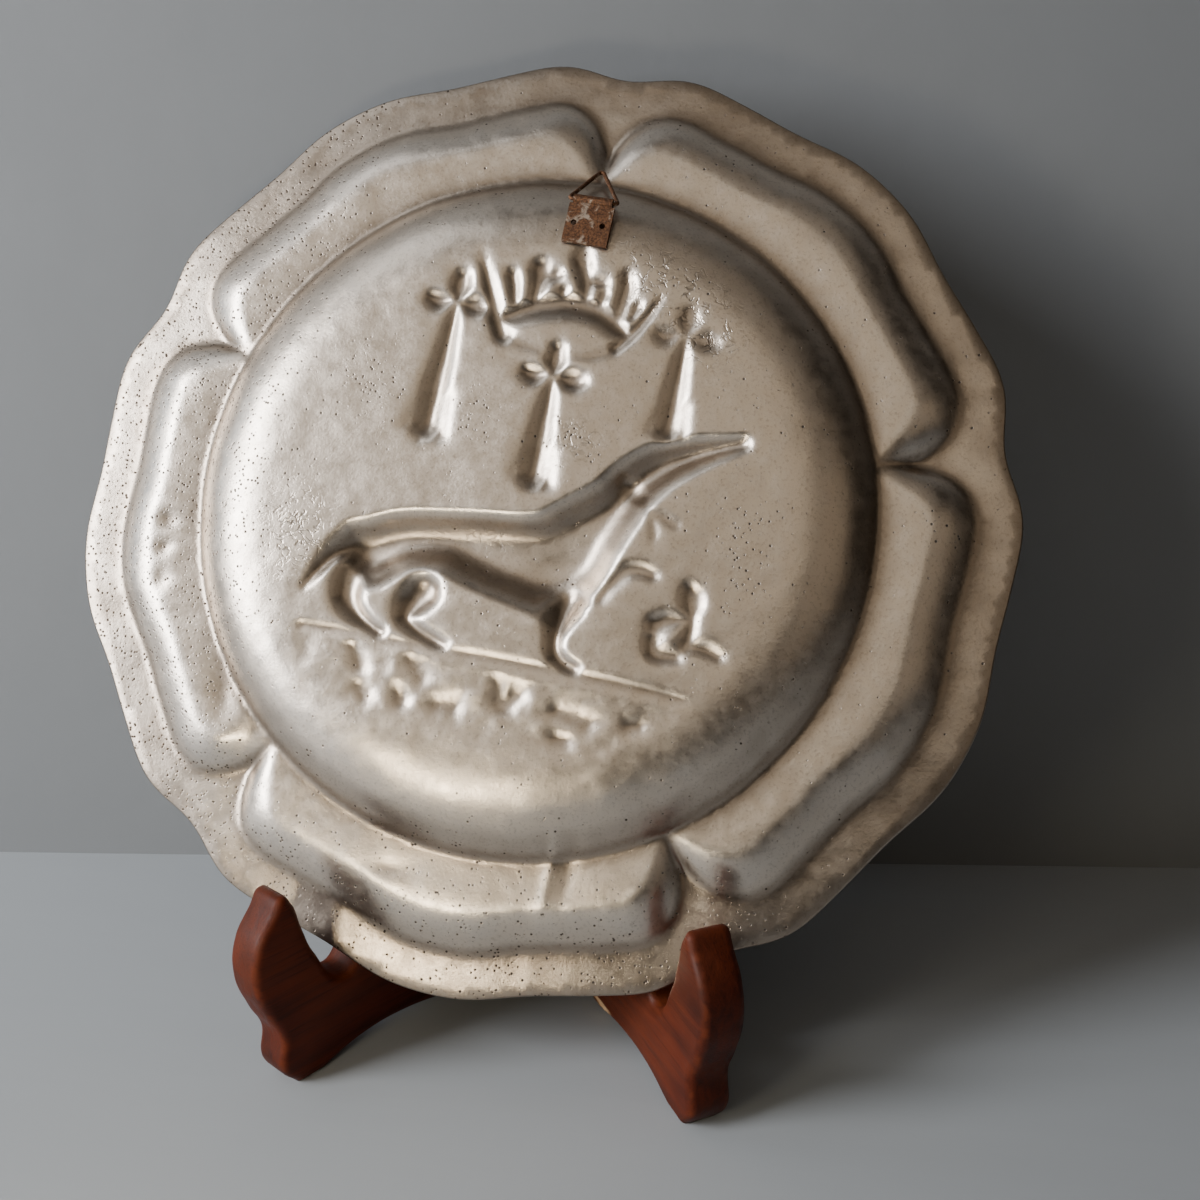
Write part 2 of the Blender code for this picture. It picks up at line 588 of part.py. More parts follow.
def make_board(name, side, collection, parent, mitre, finish):
    """One easel board: a foot with a hooked toe, a seat for the plate's edge and an upright behind it."""
    curve = bpy.data.curves.new(name, "CURVE")
    curve.dimensions = "2D"
    curve.fill_mode = "BOTH"
    curve.resolution_u = 3
    curve.extrude = BOARD_THICKNESS / 2 * MM
    spline = curve.splines.new("BEZIER")
    spline.bezier_points.add(len(BOARD_OUTLINE) - 1)
    for point, (s, z, kind) in zip(spline.bezier_points, BOARD_OUTLINE):
        point.co = (s * MM, z * MM, 0.0)
        point.handle_left_type = point.handle_right_type = kind
    spline.use_cyclic_u = True
    back = Vector((-side * math.sin(BOARD_ANGLE), math.cos(BOARD_ANGLE), 0.0))
    outward = Vector((side * math.cos(BOARD_ANGLE), math.sin(BOARD_ANGLE), 0.0))
    up = Vector((0.0, 0.0, 1.0))
    placed = Matrix((back, up, back.cross(up))).transposed().to_4x4()
    middle = Vector((side * TOE_X, TOE_Y, 0.0)) + outward * BOARD_THICKNESS / 2
    placed.translation = middle * MM
    board = as_mesh(name, curve, collection, parent, placed, finish)
    edges = board.modifiers.new("rounded edges", "BEVEL")
    edges.width = BOARD_ROUNDING * MM
    edges.segments = 2
    edges.limit_method = "ANGLE"
    edges.angle_limit = math.radians(50)
    cut_by(board, mitre)
    return board


def make_mitre(side, cutters, parent):
    """The half space beyond the middle plane, which cuts a board's back end to a mitre."""
    size = 200.0
    mesh = bpy.data.meshes.new("mitre")
    bm = bmesh.new()
    bmesh.ops.create_cube(bm, size=size * MM)
    bm.to_mesh(mesh)
    bm.free()
    block = linked(bpy.data.objects.new(f"mitre_{side}", mesh), cutters, parent)
    block.location = (-side * (size / 2 - GAP / 2) * MM, 0.0, size / 2 * 0.5 * MM)
    return cutter(block)


def centre_on_origin(root, collection):
    """Moves everything so that the box round the whole stands centred on the origin."""
    bpy.context.view_layer.update()
    graph = bpy.context.evaluated_depsgraph_get()
    corners = []
    for obj in collection.objects:
        if obj.type in {"MESH", "CURVE"}:
            shape = obj.evaluated_get(graph)
            mesh = shape.to_mesh()
            corners += [tuple(shape.matrix_world @ vertex.co) for vertex in mesh.vertices]
            shape.to_mesh_clear()
    low, high = np.min(corners, axis=0), np.max(corners, axis=0)
    root.location = (-(low[0] + high[0]) / 2, -(low[1] + high[1]) / 2, -low[2])
    bpy.context.view_layer.update()


def main():
    for obj in list(bpy.data.objects):
        bpy.data.objects.remove(obj, do_unlink=True)
    collection = bpy.data.collections.new("pewter_wall_plate")
    cutters = bpy.data.collections.new("cutters")
    for made in (collection, cutters):
        bpy.context.scene.collection.children.link(made)

    pewter = material("pewter", (0.46, 0.42, 0.37), 0.42, 1.0)
    rusty_tin = material("rusty tinplate", (0.22, 0.12, 0.07), 0.55, 0.7)
    wire = material("dark wire", (0.16, 0.09, 0.06), 0.45, 0.8)
    stained_wood = material("stained wood", (0.27, 0.07, 0.03), 0.4, 0.0)

    root = linked(bpy.data.objects.new("origin", None), collection)
    plate_frame = linked(bpy.data.objects.new("plate_frame", None), collection, root)
    plate_frame.location = (0.0, 0.0, CENTRE_HEIGHT * MM)
    plate_frame.rotation_euler = (Matrix.Rotation(math.pi / 2 - LEAN, 3, "X")
                                  @ Matrix.Rotation(-TURN, 3, "Z")).to_euler()
    hinge = linked(bpy.data.objects.new("hinge", None), collection, plate_frame)
    hinge_w = WELL_HEIGHT + GAP + STRAP_THICKNESS / 2
    hinge.location = (STRAP_CENTRE_U * MM, HINGE_V * MM, hinge_w * MM)

    make_plate(collection, plate_frame, pewter)
    make_strap(collection, cutters, hinge, rusty_tin)
    make_ring(collection, hinge, wire)
    for name, side in (("stand_left_side", -1), ("stand_right_side", 1)):
        mitre = make_mitre(side, cutters, root)
        make_board(name, side, collection, root, mitre, stained_wood)
    centre_on_origin(root, collection)


main()
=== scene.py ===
"""Pewter wall plate, seen from its hollow back, on a small wooden easel: the finished looks of every piece.

Lengths are written in millimetres and become metres where a mesh is made. The plate has its own
frame: u to the right, v up through the notch above the hanger, and w out of the plate's back.
"""

import logging
import math
from dataclasses import dataclass
from enum import Enum
from typing import Sequence

import bmesh
import bpy
import numpy as np
from mathutils import Matrix, Vector
from mathutils.geometry import delaunay_2d_cdt
from mathutils.kdtree import KDTree


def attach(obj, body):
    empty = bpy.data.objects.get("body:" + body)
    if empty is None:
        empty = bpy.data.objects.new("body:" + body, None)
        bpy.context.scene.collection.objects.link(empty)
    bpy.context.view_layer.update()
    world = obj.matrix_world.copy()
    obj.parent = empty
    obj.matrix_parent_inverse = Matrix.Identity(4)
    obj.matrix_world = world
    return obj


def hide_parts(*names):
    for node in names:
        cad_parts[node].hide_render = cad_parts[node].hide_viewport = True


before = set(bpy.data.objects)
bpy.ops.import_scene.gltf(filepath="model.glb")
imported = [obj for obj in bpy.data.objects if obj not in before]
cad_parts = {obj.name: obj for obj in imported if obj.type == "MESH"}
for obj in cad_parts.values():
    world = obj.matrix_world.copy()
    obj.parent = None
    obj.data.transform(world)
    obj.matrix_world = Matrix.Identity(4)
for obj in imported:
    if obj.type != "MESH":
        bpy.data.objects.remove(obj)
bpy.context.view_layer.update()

MM = 0.001
FAR_OUTSIDE = -9.0
MOST_EXPONENT = 40.0
NOISE_TABLE = 128
Stroke = Sequence[tuple[float, float, float]]
log = logging.getLogger("pewter_wall_plate")


class Body(Enum):
    """The rigid bodies of the CAD model."""

    STAND = "plate_on_easel"
    RING = "ring"


class Slot(Enum):
    """The record's material slots."""

    PEWTER = "pewter"
    TIN = "rusty_tin"
    WIRE = "dark_wire"
    WOOD = "stained_wood"


# Helpers that every piece shares


@dataclass(frozen=True)
class Grain:
    """Smooth seeded noise over the plate's plane, between -1 and 1.

    Args:
        size: Distance between the noise's control values, in millimetres.
        seed: Seed of the control values.
    """

    size: float
    seed: int

    def at(self, u: np.ndarray, v: np.ndarray) -> np.ndarray:
        """The noise at each point.

        Args:
            u: Positions across the plate.
            v: Positions up the plate.

        Returns:
            The noise, between -1 and 1.
        """
        n = NOISE_TABLE
        values = np.random.default_rng(self.seed).uniform(-1.0, 1.0, (n, n))
        x, y = np.asarray(u) / self.size, np.asarray(v) / self.size
        i, j = np.floor(x).astype(int), np.floor(y).astype(int)
        fx, fy = smooth(x - i), smooth(y - j)
        low = values[i % n, j % n] * (1 - fx) + values[(i + 1) % n, j % n] * fx
        high = values[i % n, (j + 1) % n] * (1 - fx) + values[(i + 1) % n, (j + 1) % n] * fx
        return low * (1 - fy) + high * fy


def smooth(t: np.ndarray) -> np.ndarray:
    """A rise from 0 to 1 that starts and ends level."""
    t = np.clip(t, 0.0, 1.0)
    return t * t * (3.0 - 2.0 * t)


def blend_low(a: np.ndarray, b: np.ndarray, width: float) -> np.ndarray:
    """The lower of two values, with the change from one to the other rounded over a width."""
    low, gap = np.minimum(a, b), np.abs(a - b)
    return low - width * np.log1p(np.exp(-np.minimum(gap / width, MOST_EXPONENT)))


def spot_of(u: np.ndarray, v: np.ndarray, cu: float, cv: float, ru: float, rv: float,
            turn: float = 0.0) -> np.ndarray:
    """A soft elliptical spot: 1 at its middle and 0 well outside it.

    Args:
        u: Positions across the plate.
        v: Positions up the plate.
        cu: The spot's middle, across.
        cv: The spot's middle, up.
        ru: Its radius along its own first axis.
        rv: Its radius along its second axis.
        turn: The first axis's angle from u, in degrees.

    Returns:
        The spot's strength at each point.
    """
    c, s = math.cos(math.radians(turn)), math.sin(math.radians(turn))
    x, y = (u - cu) * c + (v - cv) * s, -(u - cu) * s + (v - cv) * c
    return np.exp(-((x / ru) ** 2) - (y / rv) ** 2)


def spots_of(u: np.ndarray, v: np.ndarray, patches: Sequence[tuple[float, ...]]) -> np.ndarray:
    """Several soft spots added up, each given as (strength, cu, cv, ru, rv) with or without a turn."""
    return sum(strength * spot_of(u, v, *place) for strength, *place in patches)


def rounded(stroke: Stroke, steps: int = 5) -> np.ndarray:
    """A stroke with a smooth curve through its points (Catmull-Rom).

    Args:
        stroke: The points as (u, v, half width).
        steps: How many points each stretch becomes.

    Returns:
        The finer points.
    """
    p = np.array(stroke, float)
    if len(p) < 3:
        return p
    q = np.vstack([2 * p[0] - p[1], p, 2 * p[-1] - p[-2]])
    out = []
    for a, b, c, d in zip(q, q[1:], q[2:], q[3:]):
        for t in np.arange(steps) / steps:
            out.append(0.5 * (2 * b + (c - a) * t + (2 * a - 5 * b + 4 * c - d) * t**2
                              + (3 * b - a - 3 * c + d) * t**3))
    return np.array(out + [p[-1]])


def mesh_object(name: str, points: np.ndarray, faces: Sequence[Sequence[int]]) -> bpy.types.Object:
    """A mesh object at the origin, with its faces turned outwards.

    Args:
        name: The object's name.
        points: Corners in metres.
        faces: Corner numbers of each face.

    Returns:
        The object, linked to the scene.
    """
    mesh = bpy.data.meshes.new(name)
    mesh.from_pydata([tuple(p) for p in points], [], [tuple(f) for f in faces])
    mesh.validate()
    bm = bmesh.new()
    bm.from_mesh(mesh)
    bmesh.ops.recalc_face_normals(bm, faces=bm.faces)
    bm.to_mesh(mesh)
    bm.free()
    mesh.shade_smooth()
    obj = bpy.data.objects.new(name, mesh)
    bpy.context.scene.collection.objects.link(obj)
    return obj


def add_attribute(mesh: bpy.types.Mesh, name: str, values: np.ndarray) -> None:
    """Stores one number at each vertex, for a material to read."""
    layer = mesh.attributes.new(name, "FLOAT", "POINT")
    layer.data.foreach_set("value", np.asarray(values, np.float32))


class Paint:
    """A material's node tree, with short calls for the nodes that the finishes share."""

    def __init__(self, name: str) -> None:
        """Starts a material with one Principled shader.

        Args:
            name: The material's name.
        """
        self.material = bpy.data.materials.new(name)
        self.material.use_nodes = True
        self.nodes = self.material.node_tree.nodes
        self.links = self.material.node_tree.links
        self.shader = self.nodes["Principled BSDF"]
        self.where = self.nodes.new("ShaderNodeTexCoord").outputs["Object"]

    def feed(self, socket: bpy.types.NodeSocket, value: object) -> None:
        """Links a socket to an output, or sets its number or colour.

        Args:
            socket: The socket to feed.
            value: An output, a number or a colour.
        """
        if isinstance(value, bpy.types.NodeSocket):
            self.links.new(value, socket)
        else:
            socket.default_value = value

    def placed(self, scale: tuple[float, float, float], turn: float = 0.0) -> bpy.types.NodeSocket:
        """Object coordinates turned about Z, in degrees, and then stretched.

        Args:
            scale: Stretch along each axis.
            turn: Turn about Z, in degrees.

        Returns:
            The coordinates.
        """
        turned = self.nodes.new("ShaderNodeMapping")
        turned.inputs["Rotation"].default_value = (0.0, 0.0, math.radians(turn))
        self.feed(turned.inputs["Vector"], self.where)
        stretched = self.nodes.new("ShaderNodeMapping")
        stretched.inputs["Scale"].default_value = scale
        self.feed(stretched.inputs["Vector"], turned.outputs["Vector"])
        return stretched.outputs["Vector"]

    def noise(self, size_mm: float, detail: float = 3.0, rough: float = 0.5, warp: float = 0.0,
              at: bpy.types.NodeSocket | None = None) -> bpy.types.NodeSocket:
        """Noise with features of about the given size.

        Args:
            size_mm: Size of its largest features.
            detail: Number of finer layers.
            rough: Strength of the finer layers.
            warp: Distortion of the pattern.
            at: Coordinates to use in place of the object's own.

        Returns:
            The node's value, from 0 to 1.
        """
        node = self.nodes.new("ShaderNodeTexNoise")
        self.feed(node.inputs["Vector"], at or self.where)
        node.inputs["Scale"].default_value = 1.0 / (size_mm * MM)
        node.inputs["Detail"].default_value = detail
        node.inputs["Roughness"].default_value = rough
        node.inputs["Distortion"].default_value = warp
        return node.outputs["Fac"]

    def cells(self, size_mm: float, randomness: float = 1.0) -> bpy.types.NodeSocket:
        """Distance to the nearest of many scattered points, in cells of the given size.

        Args:
            size_mm: Size of a cell.
            randomness: 0 for an even grid and 1 for scattered points.

        Returns:
            The distance, as a share of a cell.
        """
        node = self.nodes.new("ShaderNodeTexVoronoi")
        self.feed(node.inputs["Vector"], self.where)
        node.inputs["Scale"].default_value = 1.0 / (size_mm * MM)
        node.inputs["Randomness"].default_value = randomness
        return node.outputs["Distance"]

    def attribute(self, name: str) -> bpy.types.NodeSocket:
        """A number stored at the mesh's vertices.

        Args:
            name: The attribute's name.

        Returns:
            The number.
        """
        node = self.nodes.new("ShaderNodeAttribute")
        node.attribute_name = name
        return node.outputs["Fac"]

    def math(self, operation: str, a: object, b: object = 0.0, clamp: bool = False) -> bpy.types.NodeSocket:
        """One arithmetic step.

        Args:
            operation: The node's operation.
            a: First value.
            b: Second value, where the operation has one.
            clamp: Whether the result is held between 0 and 1.

        Returns:
            The result.
        """
        node = self.nodes.new("ShaderNodeMath")
        node.operation = operation
        node.use_clamp = clamp
        self.feed(node.inputs[0], a)
        self.feed(node.inputs[1], b)
        return node.outputs[0]

    def span(self, value: object, low: float, high: float, to_low: float = 0.0,
             to_high: float = 1.0) -> bpy.types.NodeSocket:
        """A value mapped from one range to another, smoothly and held at its ends.

        Args:
            value: The value.
            low: Start of its range.
            high: End of its range.
            to_low: Result at the start.
            to_high: Result at the end.

        Returns:
            The mapped value.
        """
        node = self.nodes.new("ShaderNodeMapRange")
        node.interpolation_type = "SMOOTHSTEP"
        self.feed(node.inputs["Value"], value)
        for name, number in (("From Min", low), ("From Max", high), ("To Min", to_low), ("To Max", to_high)):
            node.inputs[name].default_value = number
        return node.outputs["Result"]

    def mix(self, amount: object, a: object, b: object) -> bpy.types.NodeSocket:
        """Two colours mixed by an amount.

        Args:
            amount: Share of the second colour.
            a: First colour.
            b: Second colour.

        Returns:
            The mixed colour.
        """
        node = self.nodes.new("ShaderNodeMix")
        node.data_type = "RGBA"
        node.clamp_factor = True
        self.feed(node.inputs[0], amount)
        for socket, colour in ((node.inputs[6], a), (node.inputs[7], b)):
            self.feed(socket, colour if isinstance(colour, bpy.types.NodeSocket) else (*colour, 1.0))
        return node.outputs[2]

    def bump(self, height: bpy.types.NodeSocket, depth_mm: float,
             under: bpy.types.NodeSocket | None = None) -> bpy.types.NodeSocket:
        """A normal bent by a height, on top of another bump if one is given.

        Args:
            height: The height, from 0 to 1.
            depth_mm: How deep a height of 1 is.
            under: The bump below it.

        Returns:
            The normal.
        """
        node = self.nodes.new("ShaderNodeBump")
        node.inputs["Strength"].default_value = 1.0
        node.inputs["Distance"].default_value = depth_mm * MM
        self.feed(node.inputs["Height"], height)
        if under is not None:
            self.feed(node.inputs["Normal"], under)
        return node.outputs["Normal"]

    def finish(self, colour: object, roughness: object, normal: bpy.types.NodeSocket | None = None,
               metallic: float = 0.0) -> bpy.types.Material:
        """Feeds the shader and returns the material.

        Args:
            colour: Base colour.
            roughness: Roughness.
            normal: Bent normal, if there is one.
            metallic: 0 for wood and paint, 1 for metal.

        Returns:
            The material.
        """
        self.feed(self.shader.inputs["Base Color"],
                  colour if isinstance(colour, bpy.types.NodeSocket) else (*colour, 1.0))
        self.feed(self.shader.inputs["Roughness"], roughness)
        self.shader.inputs["Metallic"].default_value = metallic
        if normal is not None:
            self.feed(self.shader.inputs["Normal"], normal)
        return self.material


# Finishes


@dataclass(frozen=True)
class Pewter:
    """Aged pewter: soft satin metal, brown patina and painted shade in the hollows, casting pits and fine
    scratches.
    """

    clean: tuple[float, float, float] = (0.66, 0.575, 0.485)
    worn: tuple[float, float, float] = (0.76, 0.71, 0.65)
    # The patina colour also paints shade down the figures' walls and round the well's crease.
    patina: tuple[float, float, float] = (0.17, 0.12, 0.08)
    pit: tuple[float, float, float] = (0.035, 0.025, 0.02)
    roughness: float = 0.31
    patina_strength: float = 0.85
    pit_strength: float = 0.92
    wrinkle_strength: float = 0.7
    grain_depth: float = 0.05
    fine_depth: float = 0.035
    pit_depth: float = 0.045
    wrinkle_depth: float = 0.09

    def pits(self, p: Paint, patches: bpy.types.NodeSocket, onset: tuple[float, float], apart: float,
             reach: tuple[float, float]) -> bpy.types.NodeSocket:
        """Small round pits in the places where a patchy value is high.

        Args:
            p: The material that is being made.
            patches: The patchy value.
            onset: Where in that value pits start, and where all of them show.
            apart: Usual distance between pits, in millimetres.
            reach: Where a pit's slope ends and starts, as shares of that distance.

        Returns:
            1 in a pit and 0 outside.
        """
        return p.math("MULTIPLY", p.span(patches, *onset), p.span(p.cells(apart), *reach, 1.0, 0.0))

    def material(self) -> bpy.types.Material:
        """Builds the material; it reads the attributes cavity, crease and pitted.

        Returns:
            The material.
        """
        p = Paint("aged_pewter")
        broad, middle, fine = p.noise(34.0, 4.0), p.noise(3.2, 5.0, 0.6), p.noise(0.75, 4.0, 0.6)
        hollow_and_shade, crease, pitted = p.attribute("hollow_and_shade"), p.attribute("crease"), p.attribute("pitted")
        mottled = p.math("ADD", p.math("MULTIPLY", p.math("SUBTRACT", broad, 0.5), 0.45),
                         p.math("MULTIPLY", p.math("SUBTRACT", middle, 0.5), 0.2))
        # Darker towards the patina colour: real patina in the hollows, and painted shade down the figures'
        # walls and round the crease, with mottled tone added.
        dark = p.math("ADD", p.math("MULTIPLY", hollow_and_shade, 0.7), mottled, clamp=True)
        colour = p.mix(p.math("MULTIPLY", dark, self.patina_strength), self.clean, self.patina)
        raised = p.math("SUBTRACT", p.math("MULTIPLY", hollow_and_shade, -1.0), p.math("MULTIPLY", middle, 0.25))
        colour = p.mix(p.math("MULTIPLY", p.span(raised, 0.12, 0.6), 0.3), colour, self.worn)
        close = p.math("ADD", p.noise(3.0, 4.0, 0.65), p.math("MULTIPLY", pitted, 0.26))
        loose = p.math("ADD", p.noise(7.0, 3.0, 0.6), p.math("MULTIPLY", pitted, 0.3))
        pit_mask = p.math("MAXIMUM", self.pits(p, close, (0.60, 0.67), 1.35, (0.14, 0.30)),
                          self.pits(p, loose, (0.55, 0.62), 2.1, (0.10, 0.20)))
        colour = p.mix(p.math("MULTIPLY", p.span(fine, 0.5, 0.72), 0.3), colour, self.patina)
        colour = p.mix(p.math("MULTIPLY", pit_mask, self.pit_strength), colour, self.pit)
        roughness = p.span(middle, 0.3, 0.75, self.roughness - 0.03, self.roughness + 0.06)
        roughness = p.math("ADD", roughness, p.math("MULTIPLY", pit_mask, 0.35))
        swirl = p.math("ABSOLUTE", p.math("SUBTRACT", p.noise(3.4, 2.0, 0.5, 1.2), 0.5))
        creased = p.math("MULTIPLY", crease, p.span(p.noise(2.2, 3.0), 0.42, 0.58))
        wrinkles = p.math("MULTIPLY", creased, p.span(swirl, 0.0, 0.07, 1.0, 0.0))
        colour = p.mix(p.math("MULTIPLY", wrinkles, self.wrinkle_strength), colour, self.pit)
        normal = p.bump(middle, self.grain_depth)
        normal = p.bump(fine, self.fine_depth, normal)
        normal = p.bump(p.math("SUBTRACT", 1.0, pit_mask), self.pit_depth, normal)
        normal = p.bump(p.math("SUBTRACT", 1.0, wrinkles), self.wrinkle_depth, normal)
        return p.finish(colour, roughness, normal, metallic=1.0)


@dataclass(frozen=True)
class StainedWood:
    """Softwood under a reddish-brown stain and a thin satin varnish, worn pale along its edges."""

    stain: tuple[float, float, float] = (0.075, 0.0125, 0.004)
    dark: tuple[float, float, float] = (0.026, 0.005, 0.0025)
    edge: tuple[float, float, float] = (0.13, 0.028, 0.009)
    raw: tuple[float, float, float] = (0.72, 0.50, 0.30)
    raw_dark: tuple[float, float, float] = (0.42, 0.24, 0.12)

    def material(self, name: str, turn: float) -> bpy.types.Material:
        """Builds the material for one board.

        Args:
            name: The material's name.
            turn: Turn of the grain about Z that lays it along the board, in degrees.

        Returns:
            The material; it reads the attributes wear and chipped.
        """
        p = Paint(name)
        along = p.placed((0.075, 1.0, 0.6), turn)
        veins = p.noise(2.2, 5.0, 0.62, 0.7, along)
        bands = p.noise(9.0, 3.0, 0.5, 0.4, along)
        pores = p.noise(0.5, 2.0, 0.5, 0.0, p.placed((0.03, 1.0, 1.0), turn))
        blotch = p.noise(26.0, 3.0)
        shade = p.math("ADD", p.math("MULTIPLY", veins, 0.55), p.math("MULTIPLY", bands, 0.55))
        colour = p.mix(p.span(shade, 0.42, 0.72), self.dark, self.stain)
        colour = p.mix(p.math("MULTIPLY", p.span(blotch, 0.4, 0.7), 0.35), colour, self.edge)
        colour = p.mix(p.math("MULTIPLY", p.span(pores, 0.56, 0.68), 0.5), colour, self.dark)
        wear = p.math("MULTIPLY", p.attribute("wear"), p.span(p.noise(4.0, 4.0), 0.42, 0.62))
        colour = p.mix(p.math("MULTIPLY", wear, 0.5), colour, self.edge)
        colour = p.mix(p.attribute("chipped"), colour, p.mix(veins, self.raw, self.raw_dark))
        roughness = p.math("ADD", p.span(veins, 0.3, 0.7, 0.42, 0.56),
                           p.math("MULTIPLY", p.attribute("chipped"), 0.4))
        normal = p.bump(veins, 0.10)
        normal = p.bump(p.math("SUBTRACT", 1.0, pores), 0.05, normal)
        p.shader.inputs["Specular IOR Level"].default_value = 0.15
        return p.finish(colour, roughness, normal)


@dataclass(frozen=True)
class RustyTin:
    """Thin tinplate gone brown, with dull grey metal where the rust is thin."""

    rust: tuple[float, float, float] = (0.165, 0.075, 0.035)
    crust: tuple[float, float, float] = (0.055, 0.026, 0.014)
    metal: tuple[float, float, float] = (0.40, 0.33, 0.26)

    def material(self, name: str, bare: float) -> bpy.types.Material:
        """Builds the material.

        Args:
            name: The material's name.
            bare: Share of bare metal, from 0 to 1.

        Returns:
            The material.
        """
        p = Paint(name)
        patches, grains = p.noise(3.6, 5.0, 0.6, 0.5), p.noise(0.5, 4.0, 0.6)
        colour = p.mix(p.span(grains, 0.35, 0.65), self.crust, self.rust)
        shown = p.span(patches, 0.62 - 0.3 * bare, 0.74 - 0.3 * bare)
        colour = p.mix(p.math("MULTIPLY", shown, 0.8), colour, self.metal)
        roughness = p.math("ADD", p.span(patches, 0.3, 0.7, 0.62, 0.42), p.math("MULTIPLY", grains, 0.1))
        height = p.math("ADD", p.math("MULTIPLY", patches, 0.5), p.math("MULTIPLY", grains, 0.5))
        return p.finish(colour, roughness, p.bump(height, 0.12), metallic=0.75)


@dataclass(frozen=True)
class Painted:
    """A matt painted surface of the room, with barely visible brush marks."""

    colour: tuple[float, float, float]
    stretch: tuple[float, float, float] = (1.0, 1.0, 1.0)
    one_sided: bool = False

    def material(self, name: str) -> bpy.types.Material:
        """Builds the material; a one-sided surface isn't seen from behind.

        Args:
            name: The material's name.

        Returns:
            The material.
        """
        p = Paint(name)
        marks = p.noise(30.0, 5.0, 0.6, 0.0, p.placed(self.stretch))
        darker = tuple(c * 0.93 for c in self.colour)
        made = p.finish(p.mix(marks, darker, self.colour), 0.7, p.bump(marks, 0.25))
        if self.one_sided:
            clear = p.nodes.new("ShaderNodeBsdfTransparent")
            choice = p.nodes.new("ShaderNodeMixShader")
            p.feed(choice.inputs[0], p.nodes.new("ShaderNodeNewGeometry").outputs["Backfacing"])
            p.feed(choice.inputs[1], p.shader.outputs[0])
            p.feed(choice.inputs[2], clear.outputs[0])
            p.feed(p.nodes["Material Output"].inputs["Surface"], choice.outputs[0])
        return made


# The plate and its relief


@dataclass(frozen=True)
class Figure:
    """One sunk figure: strokes of (u, v, half width) with a wall on each side.

    Args:
        depth: How deep it is sunk.
        walls: Width of the wall to the left and to the right of each stroke's direction.
        strokes: The strokes.
        merge: How softly strokes run into each other.
        edge: Rounding of the upper edge, as a share of the wall.
        round: Rounding of the bottom where two walls meet, as a share of the wall.
        lip: Height of the raised lip along its edge.
        curve: How far the walls flatten towards the bottom: 1 for even walls, 2 for hollow ones.
        grime_and_shade: How much its walls are darkened, by patina and by painted shade, from 0 to 1.
        farthest: How far outside a stroke its wall is still worked out.
    """

    depth: float
    walls: tuple[float, float]
    strokes: tuple[Stroke, ...]
    merge: float = 0.12
    edge: float = 0.16
    round: float = 0.14
    lip: float = 0.0
    curve: float = 1.8
    grime_and_shade: float = 0.35
    farthest: float = 6.0

    def progress(self, u: np.ndarray, v: np.ndarray, stroke: Stroke) -> np.ndarray:
        """How far down the walls of one stroke each point is: 0 at the edge, 1 or more on the floor.

        Args:
            u: Positions across the plate.
            v: Positions up the plate.
            stroke: The stroke.

        Returns:
            The progress, and FAR_OUTSIDE well away from the stroke.
        """
        path = rounded(stroke)
        best = np.full(np.shape(u), FAR_OUTSIDE)
        reach = path[:, 2].max() + self.farthest
        near = ((u > path[:, 0].min() - reach) & (u < path[:, 0].max() + reach)
                & (v > path[:, 1].min() - reach) & (v < path[:, 1].max() + reach))
        x, y = u[near], v[near]
        found = np.full(x.shape, FAR_OUTSIDE)
        for (x0, y0, r0), (x1, y1, r1) in zip(path, path[1:]):
            dx, dy = x1 - x0, y1 - y0
            t = np.clip(((x - x0) * dx + (y - y0) * dy) / (dx * dx + dy * dy), 0.0, 1.0)
            ox, oy = x - x0 - t * dx, y - y0 - t * dy
            off = np.hypot(ox, oy)
            side = (dx * oy - dy * ox) / (np.hypot(dx, dy) * np.maximum(off, 1e-6))
            r = r0 + t * (r1 - r0)
            left, right = self.walls
            here = (left + right) / 2 + side * (left - right) / 2
            there = (left + right) / 2 - side * (left - right) / 2
            found = np.maximum(found, blend_low((r - off) / here, (r + off) / there, self.round))
        best[near] = found
        return best

    def sunk(self, u: np.ndarray, v: np.ndarray) -> tuple[np.ndarray, np.ndarray]:
        """How deep the figure is at each point, with its lip taken off, and the progress down its walls.

        Args:
            u: Positions across the plate.
            v: Positions up the plate.

        Returns:
            The depth and the progress.
        """
        parts = np.array([self.progress(u, v, stroke) for stroke in self.strokes])
        top = parts.max(axis=0)
        t = top + self.merge * np.log(np.exp((parts - top) / self.merge).sum(axis=0))
        eased = self.edge * np.log1p(np.exp(np.clip(t / self.edge, -30.0, 30.0)))
        profile = 1.0 - (1.0 - np.clip(eased, 0.0, 1.0)) ** self.curve
        width = sum(self.walls) / 2
        lip = self.lip * np.exp(-(((t * width + 0.7) / 0.75) ** 2))
        return self.depth * profile - lip, t


